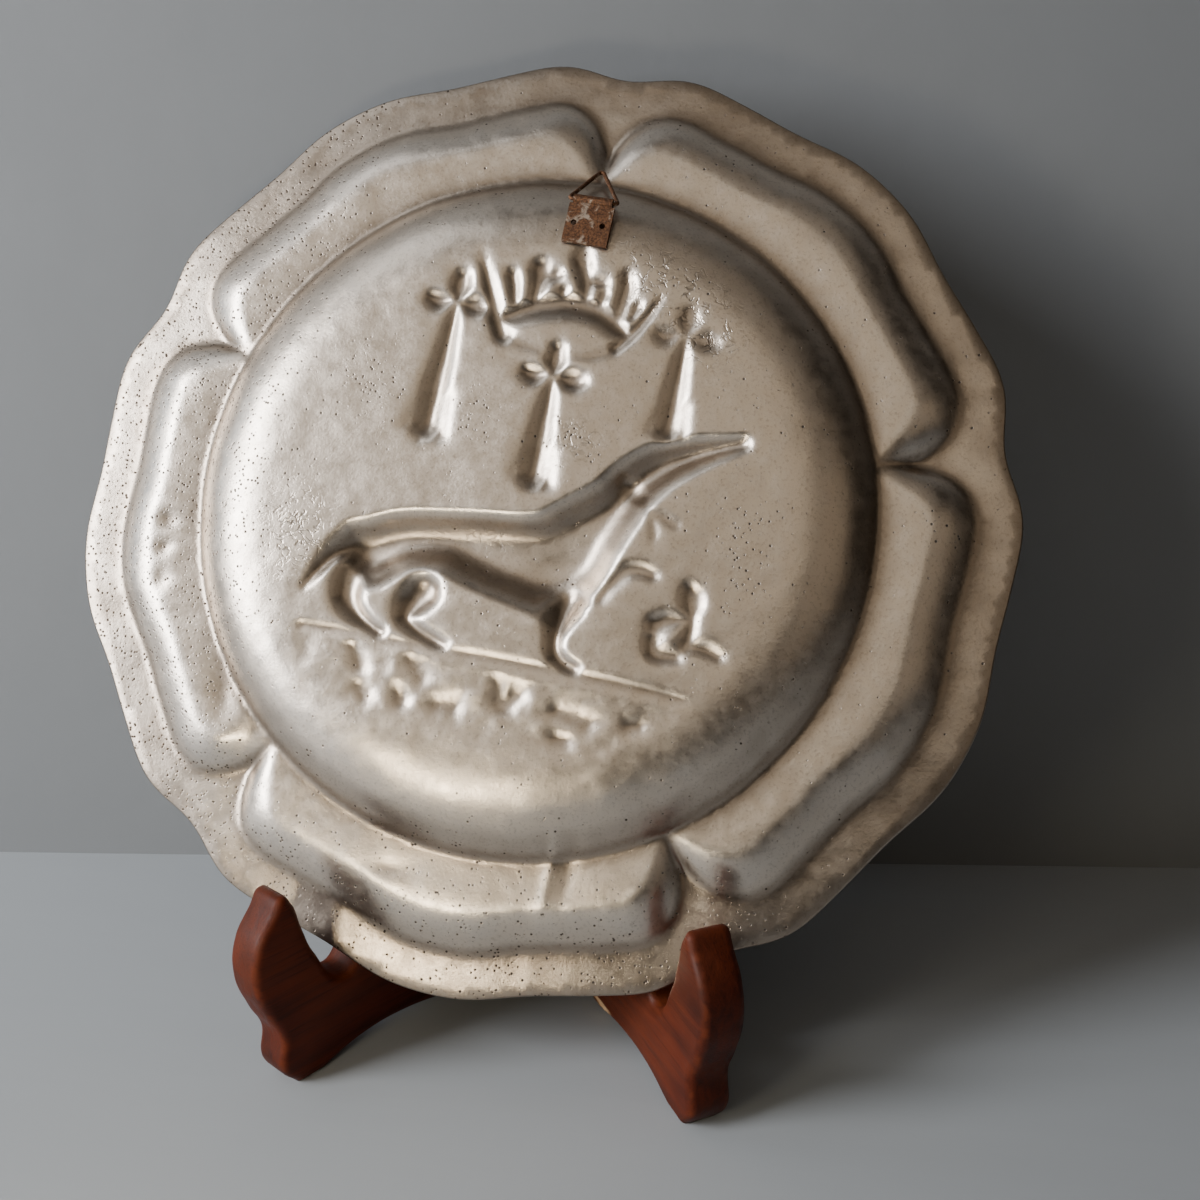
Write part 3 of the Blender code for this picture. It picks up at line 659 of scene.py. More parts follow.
class Ermine:
    """The walking ermine of the well: body, legs, tail, collar and the small raised fore leg."""

    spine: Stroke = ((-33.5, -19.0, 8.6), (-26.0, -14.6, 7.6), (-16.0, -12.5, 7.4), (-6.0, -12.9, 9.2),
                     (4.0, -13.2, 10.8), (12.0, -11.8, 12.2), (17.5, -4.0, 9.5), (22.6, 3.2, 7.3),
                     (26.0, 9.0, 6.6), (31.2, 14.6, 5.8), (37.3, 18.5, 4.6), (43.5, 21.4, 3.1),
                     (49.5, 23.8, 1.9))
    foreleg: Stroke = ((15.6, -20.0, 6.4), (15.6, -26.5, 3.2), (15.6, -30.0, 2.3), (16.4, -33.0, 2.2),
                       (19.0, -35.3, 2.1), (21.8, -36.0, 1.7))
    tail: Stroke = ((-38.0, -17.0, 4.8), (-42.5, -20.5, 2.9), (-45.5, -25.0, 1.7), (-48.0, -30.0, 0.6))
    far_leg: Stroke = ((-37.0, -24.0, 4.8), (-37.0, -29.5, 4.2), (-34.5, -33.0, 3.0), (-30.0, -35.8, 2.1),
                       (-26.8, -37.0, 1.7))
    near_leg: Stroke = ((-18.6, -25.4, 4.9), (-20.6, -29.0, 4.0), (-21.2, -32.4, 2.7), (-17.2, -34.9, 2.2),
                        (-13.0, -36.3, 2.0), (-10.6, -36.9, 1.5))
    raised_leg: Stroke = ((24.3, -18.5, 1.4), (26.5, -14.5, 1.9), (29.3, -10.9, 2.2), (32.8, -10.2, 2.0),
                          (35.2, -10.7, 1.8))
    ribbons: tuple[Stroke, ...] = (
        ((31.0, 4.0, 1.2), (35.0, 3.2, 1.5), (38.0, 2.0, 1.5)),
        ((32.5, 2.0, 1.2), (33.5, -1.0, 1.3), (33.6, -2.8, 0.7)),
    )
    collar: Stroke = ((23.2, 10.8, 1.6), (27.2, 7.8, 1.9), (31.4, 5.6, 1.5))

    def figures(self) -> list[Figure]:
        """The ermine's sunk shapes."""
        return [
            # The body's walls carry the most patina and painted shade.
            Figure(5.2, (6.0, 7.6), (self.spine, self.foreleg, self.tail), edge=0.10, lip=0.12, curve=1.5,
                   grime_and_shade=1.0),
            Figure(2.8, (4.0, 4.4), (self.far_leg,)),
            Figure(2.8, (4.0, 4.4), (self.near_leg,)),
            Figure(1.0, (2.6, 2.6), (self.raised_leg,), edge=0.2),
            Figure(0.55, (2.0, 2.0), self.ribbons, edge=0.2),
        ]

    def inner_relief(self, u: np.ndarray, v: np.ndarray) -> np.ndarray:
        """Depth added inside the body: the collar, the dip of the shoulder and a soft fold at the thigh.

        Args:
            u: Positions across the plate.
            v: Positions up the plate.

        Returns:
            The added depth.
        """
        collar, _ = Figure(0.6, (1.4, 1.4), (self.collar,), edge=0.25).sunk(u, v)
        shoulder = 0.7 * spot_of(u, v, 12.5, -13.0, 7.5, 5.0, 40.0)
        thigh = -0.5 * spot_of(u, v, -30.0, -22.0, 9.0, 2.0, 32.0)
        flank = -0.35 * spot_of(u, v, -6.0, -9.5, 13.0, 1.6, 2.0)
        return collar + shoulder + thigh + flank


@dataclass(frozen=True)
class ErmineSpot:
    """A heraldic spot: three petals over a tail that widens down to three tips."""

    u: float
    v: float
    length: float
    lean: float
    width: float
    petals: float = 1.0

    def along(self, down: float, side: float = 0.0) -> tuple[float, float]:
        """A point this far down the spot and to its side."""
        return self.u + self.lean * down + side, self.v - down

    def figures(self) -> list[Figure]:
        """The petals and the tail.

        Returns:
            The spot's sunk shapes.
        """
        petals = (
            ((*self.along(-1.8), 1.7), (*self.along(-4.4), 2.7), (*self.along(-6.6), 2.3)),
            ((*self.along(-0.4, -2.2), 1.4), (*self.along(0.2, -4.6), 2.3), (*self.along(-0.2, -6.4), 1.8)),
            ((*self.along(-0.2, 2.2), 1.5), (*self.along(-0.2, 4.8), 2.6), (*self.along(-0.2, 6.6), 2.1)),
        )
        tail = tuple((*self.along(self.length * t, -0.4 * t), 1.7 + (self.width - 1.7) * t**0.8)
                     for t in (0.9, 0.7, 0.45, 0.2, 0.02))
        fingers = tuple(
            ((*self.along(self.length * drop, side), width),
             (*self.along(self.length * 0.7, side * 0.5), width * 1.6))
            for side, drop, width in ((-self.width * 0.92, 0.93, 0.9), (-self.width * 0.2, 1.02, 1.1),
                                      (self.width * 0.7, 0.97, 1.7)))
        return [
            Figure(1.8 * self.petals, (3.0, 2.6), petals, edge=0.25, round=0.25),
            Figure(2.5, (5.2, 4.3), (tail,), edge=0.10, round=0.06, curve=1.1, grime_and_shade=0.1),
            Figure(1.2, (3.0, 2.6), fingers, edge=0.3),
        ]


class Coronet:
    """The crown over the middle spot: two pointed sides, a hollow headband, its underside and fleurons."""

    sides: tuple[Stroke, ...] = (
        ((-13.2, 40.6, 2.9), (-16.0, 46.0, 2.9), (-19.5, 53.0, 2.1), (-23.2, 59.6, 0.7)),
        ((14.6, 41.4, 1.7), (17.6, 45.5, 1.9), (20.3, 50.0, 1.6), (23.2, 55.3, 0.7)),
    )
    headband: Stroke = ((-13.0, 44.6, 3.0), (-7.0, 47.8, 3.5), (1.0, 50.0, 3.7), (9.0, 49.4, 3.6),
                        (15.5, 45.6, 2.8))
    rim: Stroke = ((-11.0, 39.6, 1.5), (-5.0, 38.3, 1.4), (2.0, 37.9, 1.3), (9.0, 38.5, 1.4),
                   (14.0, 40.6, 1.6))
    fleurons: tuple[Stroke, ...] = (
        ((-12.4, 49.0, 1.5), (-13.4, 53.0, 1.8), (-14.3, 55.4, 1.7)),
        ((-7.6, 50.4, 2.0), (-7.4, 54.6, 2.3), (-7.6, 58.0, 2.9)),
        ((-6.0, 56.6, 1.9), (-3.8, 57.4, 2.1)),
        ((-1.2, 50.4, 1.4), (-1.0, 53.6, 1.8)),
        ((3.6, 50.2, 1.6), (4.8, 53.6, 2.0), (4.0, 57.4, 2.2), (2.0, 61.6, 2.6), (1.4, 64.4, 1.7)),
        ((6.2, 57.4, 2.0), (8.4, 57.2, 1.9)),
        ((8.6, 50.0, 1.5), (9.0, 54.4, 2.0)),
        ((13.4, 46.8, 2.1), (13.8, 51.6, 2.4), (14.2, 56.6, 2.3), (13.6, 60.0, 1.5)),
        ((17.0, 50.0, 1.4), (17.6, 52.6, 1.7)),
    )

    def figures(self) -> list[Figure]:
        """The crown's sunk shapes."""
        return [
            Figure(2.2, (2.8, 4.4), (self.sides[0],), curve=1.2),
            Figure(1.8, (2.6, 2.2), (self.sides[1],), curve=1.2),
            # The headband's walls carry the most patina and painted shade.
            Figure(2.2, (3.0, 5.4), (self.headband,), edge=0.10, curve=1.6, grime_and_shade=1.0),
            Figure(0.4, (2.0, 2.0), (self.rim,), edge=0.3),
            Figure(1.8, (3.0, 2.5), self.fleurons, merge=0.25, edge=0.25),
        ]


class Plant:
    """The small plant before the ermine: bud, stem, and leaves to both sides."""

    strokes: tuple[Stroke, ...] = (
        ((46.0, -25.6, 1.9), (46.5, -22.0, 1.9), (46.3, -18.4, 1.7), (45.6, -14.8, 3.1), (44.5, -12.4, 1.9)),
        ((45.0, -19.6, 1.2), (41.0, -20.6, 2.3), (38.6, -22.0, 2.5)),
        ((38.6, -25.8, 2.3), (39.8, -28.2, 2.5), (44.5, -28.2, 1.9)),
        ((47.0, -25.2, 1.4), (51.0, -25.3, 1.7), (54.2, -26.3, 1.2)),
    )

    def figures(self) -> list[Figure]:
        """The plant's sunk shapes."""
        return [Figure(1.4, (3.0, 2.5), self.strokes, merge=0.25, edge=0.25)]


class Ground:
    """The ground line under the paws, and the rough turf below it."""

    line: Stroke = ((-46.0, -39.4, 1.1), (-34.0, -38.8, 1.2), (-18.0, -38.6, 1.2), (0.0, -37.9, 1.2),
                    (14.0, -37.6, 1.2), (28.0, -37.5, 1.3), (40.0, -37.7, 1.1), (49.0, -38.0, 0.7))
    hollows: tuple[Stroke, ...] = (
        ((-32.0, -42.0, 1.8), (-29.4, -45.4, 2.4)), ((-28.4, -51.0, 2.2), (-26.6, -52.2, 2.6)),
        ((-18.6, -50.0, 1.9), (-17.6, -51.8, 2.5)), ((-17.2, -42.2, 2.2), (-14.0, -44.8, 2.6)),
        ((-9.0, -51.0, 2.4), (-5.0, -50.4, 2.6)), ((5.0, -43.6, 2.0), (6.8, -48.0, 2.6), (9.6, -45.0, 2.6)),
        ((20.0, -46.4, 2.2), (27.5, -47.6, 2.4)), ((37.2, -46.2, 1.9), (39.4, -45.6, 2.0)),
        ((21.0, -52.8, 1.8), (23.4, -52.4, 2.0)),
    )

    def figures(self) -> list[Figure]:
        """The line and the larger hollows."""
        return [Figure(0.8, (1.3, 3.6), (self.line,), edge=0.25),
                Figure(0.9, (3.2, 3.0), self.hollows, edge=0.3)]

    def turf(self, u: np.ndarray, v: np.ndarray) -> np.ndarray:
        """The turf's lumps, as depth, fading out downwards."""
        inside = smooth((-39.5 - v) / 3.0) * smooth((v + 60.0) / 8.0) * smooth((52.0 - np.abs(u)) / 10.0)
        return inside * (0.13 * Grain(3.4, 31).at(u, v) + 0.04 * Grain(1.6, 32).at(u, v) + 0.2)


@dataclass
class Plate:
    """The casting: five-lobed border, raised band with cusps, well with sunk figures, and its wall.

    Args:
        centre: The plate's middle in the CAD frame.
        lean: How far it leans back, in degrees.
        turn: How far it is turned in its own plane, in degrees.
        back_step: Distance between the closest points of the back; front_step is the front's.
        knocks: Knocks in the metal, as soft spots with their depth first.
        wrinkled: Soft spots where the metal is wrinkled, with their strength first.
        pitted: Soft spots where it is pitted, with their strength first.
    """

    centre: tuple[float, float, float] = (0.046, 8.263, 129.4)
    lean: float = 22.8
    turn: float = 8.9
    lobes: int = 5
    mean_radius: float = 118.0
    outline_waves: tuple[float, ...] = (-0.63, 0.51, -1.06, -0.48, -0.21, -0.19)
    wall: float = 2.2
    border_width: float = 10.8
    cusp_depth: float = 11.0
    cusp_half_width: float = 4.8
    band_height: float = 5.0
    band_slope: float = 11.0
    band_rounding: float = 1.6
    foot_softness: float = 0.5
    band_rise: float = 12.0
    crease_radius: float = 85.0
    crease_height: float = 4.2
    shoulder_radius: float = 62.0
    well_height: float = 13.0
    well_rounding: float = 2.6
    edge_rounding: float = 0.55
    back_step: float = 0.60
    front_step: float = 0.86
    rim_points: int = 900
    foot_points: int = 3000
    knocks: tuple[tuple[float, ...], ...] = (
        (0.5, -92.0, -20.0, 3.0, 2.2), (0.5, -91.0, -27.0, 2.6, 2.0, 30.0), (0.4, -89.5, -35.0, 2.4, 3.0),
        (0.8, -58.5, -72.0, 5.0, 3.0, 50.0), (0.5, -66.0, -60.0, 3.0, 6.0, 20.0),
        (0.3, -14.0, -92.0, 5.0, 2.0), (0.12, -10.0, 15.0, 2.4, 1.6), (0.12, 62.0, -8.0, 4.0, 3.0),
        (0.2, 44.0, -60.0, 5.0, 3.0, 40.0),
        (-0.35, 25.0, -84.0, 1.0, 9.0), (0.25, 29.5, -84.0, 1.6, 8.0),
    )
    wrinkled: tuple[tuple[float, ...], ...] = (
        (1.1, -53.0, -17.0, 7.0, 9.0), (0.9, 25.0, 58.0, 15.0, 8.0, -20.0), (0.8, 37.0, 46.0, 6.0, 5.0),
        (0.5, 10.0, 18.0, 6.0, 5.0), (0.35, -8.0, -9.0, 16.0, 3.0),
    )
    pitted: tuple[tuple[float, ...], ...] = (
        (1.0, -44.0, 25.0, 6.0, 8.0), (1.0, -16.0, 20.0, 5.0, 6.0), (1.0, 54.0, -2.0, 6.0, 12.0),
        (0.8, 10.0, 17.0, 6.0, 5.0),
    )

    def __post_init__(self) -> None:
        """Gathers the figures and the plate's place."""
        self.ermine, self.ground = Ermine(), Ground()
        spots = (ErmineSpot(-26.7, 46.2, 34.0, -0.01, 5.4), ErmineSpot(1.2, 31.8, 26.5, 0.03, 5.2),
                 ErmineSpot(31.0, 46.6, 24.5, 0.03, 4.6, 0.6))
        self.figures: list[Figure] = [*self.ermine.figures(), *Coronet().figures(), *Plant().figures(),
                                      *self.ground.figures()]
        for spot in spots:
            self.figures += spot.figures()
        turned = Matrix.Rotation(math.pi / 2 - math.radians(self.lean), 4, "X") @ Matrix.Rotation(
            -math.radians(self.turn), 4, "Z")
        self.place = Matrix.Translation(Vector(self.centre) * MM) @ turned

    def outline(self, angle: np.ndarray) -> np.ndarray:
        """The outline's radius at each angle from the notch above the hanger."""
        waves = sum(h * np.cos((k + 1) * self.lobes * angle) for k, h in enumerate(self.outline_waves))
        return self.mean_radius + waves

    def band_foot(self, angle: np.ndarray) -> np.ndarray:
        """The outer foot of the raised band, with a sharp cusp below each notch.

        Args:
            angle: Angles from the notch above the hanger.

        Returns:
            The foot's radius at each angle.
        """
        sector = math.tau / self.lobes
        from_notch = np.abs((angle + sector / 2) % sector - sector / 2) * self.mean_radius
        cusp = self.cusp_depth * np.exp(-((from_notch / self.cusp_half_width) ** 1.2))
        return self.outline(angle) - self.border_width - cusp

    def inside_band(self, u: np.ndarray, v: np.ndarray) -> np.ndarray:
        """How far inside the band's outer foot each point is, and negative outside it.

        Args:
            u: Positions across the plate.
            v: Positions up the plate.

        Returns:
            The distance in millimetres.
        """
        angle = np.arange(self.foot_points) / self.foot_points * math.tau
        radius = self.band_foot(angle)
        tree = KDTree(self.foot_points)
        for k, (x, y) in enumerate(zip(radius * np.sin(angle), radius * np.cos(angle))):
            tree.insert((x, y, 0.0), k)
        tree.balance()
        away = np.array([tree.find((x, y, 0.0))[2] for x, y in zip(u, v)])
        radial = self.band_foot(np.arctan2(u, v)) - np.hypot(u, v)
        return (np.where(radial > 0.0, away, -away) + radial) / 2

    def vessel(self, u: np.ndarray, v: np.ndarray) -> np.ndarray:
        """The back's height without its figures.

        Args:
            u: Positions across the plate.
            v: Positions up the plate.

        Returns:
            The height above the border's back.
        """
        r = np.hypot(u, v)
        band = self.crease_height + (self.band_height - self.crease_height) * smooth(
            (r - self.crease_radius) / self.band_rise)
        outer = r > self.crease_radius - 1.0
        slope = np.ones(r.shape)
        inside = self.foot_softness * np.log1p(np.exp(np.minimum(
            self.inside_band(u[outer], v[outer]) / self.foot_softness, MOST_EXPONENT)))
        slope[outer] = 1.0 - (1.0 - np.clip(inside / self.band_slope, 0.0, 1.0)) ** self.band_rounding
        band = band * slope
        t = np.clip((self.crease_radius - r) / (self.crease_radius - self.shoulder_radius), 0.0, 1.0)
        rise = self.well_height - self.crease_height
        well = self.crease_height + rise * (1.0 - (1.0 - t) ** self.well_rounding)
        return np.where(r > self.crease_radius, band, well)

    def figure_depth(self, u: np.ndarray, v: np.ndarray) -> tuple[np.ndarray, np.ndarray]:
        """How deep the figures are sunk, and the furthest progress down any wall.

        Args:
            u: Positions across the plate.
            v: Positions up the plate.

        Returns:
            The depth and the progress.
        """
        depth, progress = np.zeros(u.shape), np.full(u.shape, FAR_OUTSIDE)
        for figure in self.figures:
            here, t = figure.sunk(u, v)
            depth = np.where(here > 0.0, np.maximum(depth, here), np.where(depth > 0.0, depth, depth + here))
            progress = np.maximum(progress, t)
        inside_body = smooth(self.figures[0].sunk(u, v)[1] * 1.5)
        return depth + inside_body * self.ermine.inner_relief(u, v), progress

    def dents(self, u: np.ndarray, v: np.ndarray) -> np.ndarray:
        """Knocks, hammer marks and the casting's slow unevenness.

        Args:
            u: Positions across the plate.
            v: Positions up the plate.

        Returns:
            The height that they add.
        """
        r = np.hypot(u, v)
        uneven = sum(height * Grain(size, seed).at(u, v)
                     for height, size, seed in ((0.18, 27.0, 5), (0.10, 9.0, 6), (0.045, 3.5, 7)))
        hammered = smooth((r - 84.0) / 6.0) * (0.09 - 0.05 * smooth(u / 60.0)) * Grain(7.5, 8).at(u, v)
        return uneven + hammered - spots_of(u, v, self.knocks)

    def back(self, u: np.ndarray, v: np.ndarray) -> tuple[np.ndarray, np.ndarray]:
        """The back's height, and the furthest progress down any figure's wall.

        Args:
            u: Positions across the plate.
            v: Positions up the plate.

        Returns:
            The height and the progress.
        """
        depth, progress = self.figure_depth(u, v)
        fade = smooth((self.outline(np.arctan2(u, v)) - np.hypot(u, v)) / 2.5)
        return self.vessel(u, v) - depth + (self.dents(u, v) - self.ground.turf(u, v)) * fade, progress

    def front(self, u: np.ndarray, v: np.ndarray) -> np.ndarray:
        """The hidden front's height: the same relief set back by the wall.

        Args:
            u: Positions across the plate.
            v: Positions up the plate.

        Returns:
            The height in the plate's frame.
        """
        step = 0.5

        def plain(a: np.ndarray, b: np.ndarray) -> np.ndarray:
            """The relief without marks of wear."""
            return self.vessel(a, b) - self.figure_depth(a, b)[0]

        here = plain(u, v)
        slope = np.hypot(plain(u + step, v) - here, plain(u, v + step) - here) / step
        fade = smooth((self.outline(np.arctan2(u, v)) - np.hypot(u, v)) / 2.5)
        return here - self.wall * np.minimum(np.hypot(1.0, slope), 1.4) + 0.4 * self.dents(u, v) * fade

    def lattice(self, step: float, fine_reach: float) -> np.ndarray:
        """Points over the plate, closest together near the figures and widest on the flat border.

        Args:
            step: Distance between the closest points.
            fine_reach: How far outside the figures, in wall widths, the closest points go.

        Returns:
            The points in plan.
        """
        count = int(self.mean_radius / step * 1.25)
        i, j = np.meshgrid(np.arange(-count, count + 1), np.arange(-count, count + 1))
        u, v = (i + j / 2) * step, j * step * math.sqrt(3) / 2
        r, angle = np.hypot(u, v), np.arctan2(u, v)
        room = self.outline(angle) - r
        kept = room > 1.0
        i, j, u, v, r, angle, room = (a[kept] for a in (i, j, u, v, r, angle, room))
        inner = r < self.shoulder_radius
        progress = np.full(u.shape, FAR_OUTSIDE)
        progress[inner] = self.figure_depth(u[inner], v[inner])[1]
        turf = inner & (v < -37.0) & (v > -58.0) & (np.abs(u) < 48.0)
        level = np.where((progress > -fine_reach) | turf, 0, 1)
        flat = (room < self.border_width - 1.5) & (r > self.band_foot(angle) + 1.5)
        level = np.where(flat | (inner & (progress < -1.6)), 2, level)
        level = np.where(inner & (progress < -1.6) & (r > 40.0), 1, level)
        stride = 2**level
        chosen = (i % stride == 0) & (j % stride == 0) & (room > 0.9 * stride * step)
        return np.stack([u[chosen], v[chosen]], axis=1)

    def sheet(self, points: np.ndarray, rim: np.ndarray) -> tuple[np.ndarray, list[tuple[int, ...]]]:
        """Triangles over points inside a rim; the rim's corners come first.

        Args:
            points: Points inside, in plan.
            rim: Corners of the rim, in plan.

        Returns:
            The corners in plan, and the triangles.
        """
        everything = np.vstack([rim, points])
        result = delaunay_2d_cdt([Vector(p) for p in everything], [], [list(range(len(rim)))], 1, 1e-6)
        return np.array([tuple(p) for p in result[0]]), [tuple(f) for f in result[2]]

    def build(self, finish: bpy.types.Material) -> bpy.types.Object:
        """Builds the plate as one closed mesh with its attributes for the finish.

        Args:
            finish: The pewter.

        Returns:
            The plate's object.
        """
        angle = np.arange(self.rim_points) / self.rim_points * math.tau
        wobble = 0.25 * Grain(0.35, 21).at(angle, angle * 0.0)

        def ring(inset: float) -> np.ndarray:
            """The outline moved inwards, in plan."""
            radius = self.outline(angle) - inset + np.minimum(wobble, 0.0)
            return np.stack([radius * np.sin(angle), radius * np.cos(angle)], axis=1)

        rim = ring(self.edge_rounding)
        back_plan, back_faces = self.sheet(self.lattice(self.back_step, 0.45), rim)
        front_plan, front_faces = self.sheet(self.lattice(self.front_step, 0.1), rim)
        back_height, progress = self.back(*back_plan.T)
        back_height = self.softened(back_height, back_faces, progress)
        points = [np.column_stack([back_plan, back_height])]
        points.append(np.column_stack([front_plan, self.front(*front_plan.T)]))
        faces = list(back_faces) + [tuple(k + len(back_plan) for k in face) for face in front_faces]
        start = len(back_plan) + len(front_plan)
        side = [(0.15, -0.2), (0.0, -0.7), (0.0, -1.5), (0.15, -2.0)]
        rings = [np.arange(len(rim))]
        for inset, height in side:
            points.append(np.column_stack([ring(inset), np.full(len(rim), height)]))
            rings.append(np.arange(start, start + len(rim)))
            start += len(rim)
        rings.append(np.arange(len(rim)) + len(back_plan))
        for upper, lower in zip(rings, rings[1:]):
            faces += [(upper[k], lower[k], lower[k - 1], upper[k - 1]) for k in range(len(rim))]
        flat = np.vstack(points)
        world = np.array([self.place @ Vector(p) for p in flat * MM])
        plate = mesh_object("plate_relief", world, faces)
        self.dress(plate, flat, len(back_plan), progress)
        plate.data.materials.append(finish)
        return plate

    def softened(self, height: np.ndarray, faces: Sequence[tuple[int, ...]],
                 progress: np.ndarray) -> np.ndarray:
        """The back's height with the floors of its figures evened out, as a worn casting's are.

        Args:
            height: Height of each corner of the back.
            faces: The back's triangles.
            progress: How far down a figure's wall each corner is.

        Returns:
            The evened height.
        """
        ends = np.array([(f[k], f[k - 1]) for f in faces for k in range(len(f))])
        a, b = np.unique(np.sort(ends, axis=1), axis=0).T
        degree = np.bincount(a, minlength=len(height)) + np.bincount(b, minlength=len(height))
        for share, deep in ((0.55, -0.6), (0.55, -0.3), *((0.8, 0.5),) * 5):
            mean = (np.bincount(a, height[b], len(height)) + np.bincount(b, height[a], len(height))) / degree
            weight = share * smooth((progress - deep) / 0.3) * (np.arange(len(height)) >= self.rim_points)
            height = height + weight * (mean - height)
        return height

    def dress(self, plate: bpy.types.Object, flat: np.ndarray, backs: int, progress: np.ndarray) -> None:
        """Stores where patina and painted shade darken the metal, where it is wrinkled and where it is
        pitted.

        Args:
            plate: The plate's object.
            flat: Its corners in the plate's own frame.
            backs: How many of them, from the first, are on the back.
            progress: How far down a figure's wall each corner of the back is.
        """
        mesh, u, v, w = plate.data, *flat.T
        ends = np.empty(len(mesh.edges) * 2, np.int64)
        mesh.edges.foreach_get("vertices", ends)
        a, b = ends.reshape(-1, 2).T
        degree = np.bincount(a, minlength=len(w)) + np.bincount(b, minlength=len(w))
        out = np.where(np.arange(len(w)) < backs, 1.0, -1.0)
        level = w * out
        broad = level.copy()
        near = None
        for turn in range(14):
            total = np.bincount(a, broad[b], len(w)) + np.bincount(b, broad[a], len(w))
            broad = total / np.maximum(degree, 1)
            if turn == 3:
                near = broad.copy()
        hollow_and_shade = np.clip((broad - level) * 1.1 + (near - level) * 2.5, -1.0, 1.0)
        grime_and_shade = np.zeros(len(w))
        plan_u, plan_v = u[:backs], v[:backs]
        # Patina and painted shade down each figure's walls, strongest half way down.
        for figure in self.figures:
            down = figure.sunk(plan_u, plan_v)[1]
            grime_and_shade[:backs] = np.maximum(grime_and_shade[:backs], figure.grime_and_shade * np.exp(-(((down - 0.5) / 0.42) ** 2)))
        # Painted shade in a ring just inside the well's crease, all round.
        grime_and_shade = np.maximum(grime_and_shade, 0.95 * np.exp(-(((np.hypot(u, v) - 79.8) / 3.8) ** 2)))
        # A patch over the ermine's chest and shoulder is left without this patina and painted shade: a
        # painted highlight that keeps it light.
        unshaded = spot_of(u, v, 29.0, -8.0, 8.0, 20.0, -35.0)
        hollow_and_shade = np.clip(hollow_and_shade + grime_and_shade * (1.0 - unshaded), -1.0, 1.0)
        edges = 0.75 * smooth((-50.0 - u) / 22.0) + 0.4 * smooth((-70.0 - v) / 18.0)
        add_attribute(mesh, "hollow_and_shade", hollow_and_shade)
        add_attribute(mesh, "crease", np.clip(spots_of(u, v, self.wrinkled), 0.0, 1.0))
        add_attribute(mesh, "pitted", np.clip(spots_of(u, v, self.pitted) + edges, 0.0, 1.0))


# The hanger


@dataclass
class HangerRing:
    """The wire ring in the strap's eye, leaning towards the band: a wire swept along a rounded triangle.

    Args:
        hinge: Place of the strap's eye in the plate's frame.
        apex_offset: How far the far corner is from the middle, across.
        bend: Radius of its bends.
        rest: How far it leans towards the plate, in degrees.
    """

    hinge: tuple[float, float, float] = (1.9, 76.4, 13.85)
    wire_radius: float = 0.5
    half_width: float = 6.3
    length: float = 15.9
    apex_offset: float = -1.9
    bend: float = 0.75
    rest: float = 37.6
    corner_points: int = 8
    path_points: int = 220
    wire_sides: int = 16

    def tree(self, finish: bpy.types.Material) -> bpy.types.NodeTree:
        """A node tree that bends a path's corners and sweeps the wire along it.

        Args:
            finish: The wire's material.

        Returns:
            The tree.
        """
        tree = bpy.data.node_groups.new("bent_wire", "GeometryNodeTree")
        sockets = (("Path", "NodeSocketGeometry", "INPUT"), ("Wire Radius", "NodeSocketFloat", "INPUT"),
                   ("Bend Radius", "NodeSocketFloat", "INPUT"), ("Wire", "NodeSocketGeometry", "OUTPUT"))
        for name, kind, way in sockets:
            tree.interface.new_socket(name=name, in_out=way, socket_type=kind)
        nodes, links = tree.nodes, tree.links
        start, end = nodes.new("NodeGroupInput"), nodes.new("NodeGroupOutput")
        bent = nodes.new("GeometryNodeFilletCurve")
        bent.mode = "POLY"
        bent.inputs["Count"].default_value = self.corner_points
        links.new(start.outputs["Path"], bent.inputs["Curve"])
        links.new(start.outputs["Bend Radius"], bent.inputs["Radius"])
        even = nodes.new("GeometryNodeResampleCurve")
        even.inputs["Count"].default_value = self.path_points
        links.new(bent.outputs["Curve"], even.inputs["Curve"])
        section = nodes.new("GeometryNodeCurvePrimitiveCircle")
        section.inputs["Resolution"].default_value = self.wire_sides
        links.new(start.outputs["Wire Radius"], section.inputs["Radius"])
        swept = nodes.new("GeometryNodeCurveToMesh")
        links.new(even.outputs["Curve"], swept.inputs["Curve"])
        links.new(section.outputs["Curve"], swept.inputs["Profile Curve"])
        real = nodes.new("GeometryNodeRealizeInstances")
        links.new(swept.outputs["Mesh"], real.inputs["Geometry"])
        painted = nodes.new("GeometryNodeSetMaterial")
        painted.inputs["Material"].default_value = finish
        links.new(real.outputs["Geometry"], painted.inputs["Geometry"])
        links.new(painted.outputs["Geometry"], end.inputs["Wire"])
        return tree

    def build(self, place: Matrix, finish: bpy.types.Material) -> bpy.types.Object:
        """Builds the ring.

        Args:
            place: The plate's frame.
            finish: The wire's material.

        Returns:
            The ring's object.
        """
        leaned = Matrix.Rotation(-math.radians(self.rest), 4, "X")
        at = place @ Matrix.Translation(Vector(self.hinge) * MM) @ leaned
        corners = ((-self.half_width, 0.0), (self.half_width, 0.0), (self.apex_offset, self.length))
        path = bpy.data.curves.new("ring_path", "CURVE")
        path.dimensions = "3D"
        spline = path.splines.new("POLY")
        spline.points.add(len(corners) - 1)
        for point, (x, y) in zip(spline.points, corners):
            point.co = (*(at @ Vector((x * MM, y * MM, 0.0))), 1.0)
        spline.use_cyclic_u = True
        holder = bpy.data.objects.new("ring_path", path)
        bpy.context.scene.collection.objects.link(holder)
        swept = holder.modifiers.new("bent wire", "NODES")
        swept.node_group = self.tree(finish)
        sizes = {"Wire Radius": self.wire_radius * MM, "Bend Radius": self.bend * MM}
        for item in swept.node_group.interface.items_tree:
            if item.name in sizes:
                swept[item.identifier] = sizes[item.name]
        graph = bpy.context.evaluated_depsgraph_get()
        mesh = bpy.data.meshes.new_from_object(holder.evaluated_get(graph))
        bpy.data.objects.remove(holder)
        mesh.shade_smooth()
        mesh.name = "hanger_wire_ring"
        ring = bpy.data.objects.new("hanger_wire_ring", mesh)
        bpy.context.scene.collection.objects.link(ring)
        return ring


# The easel


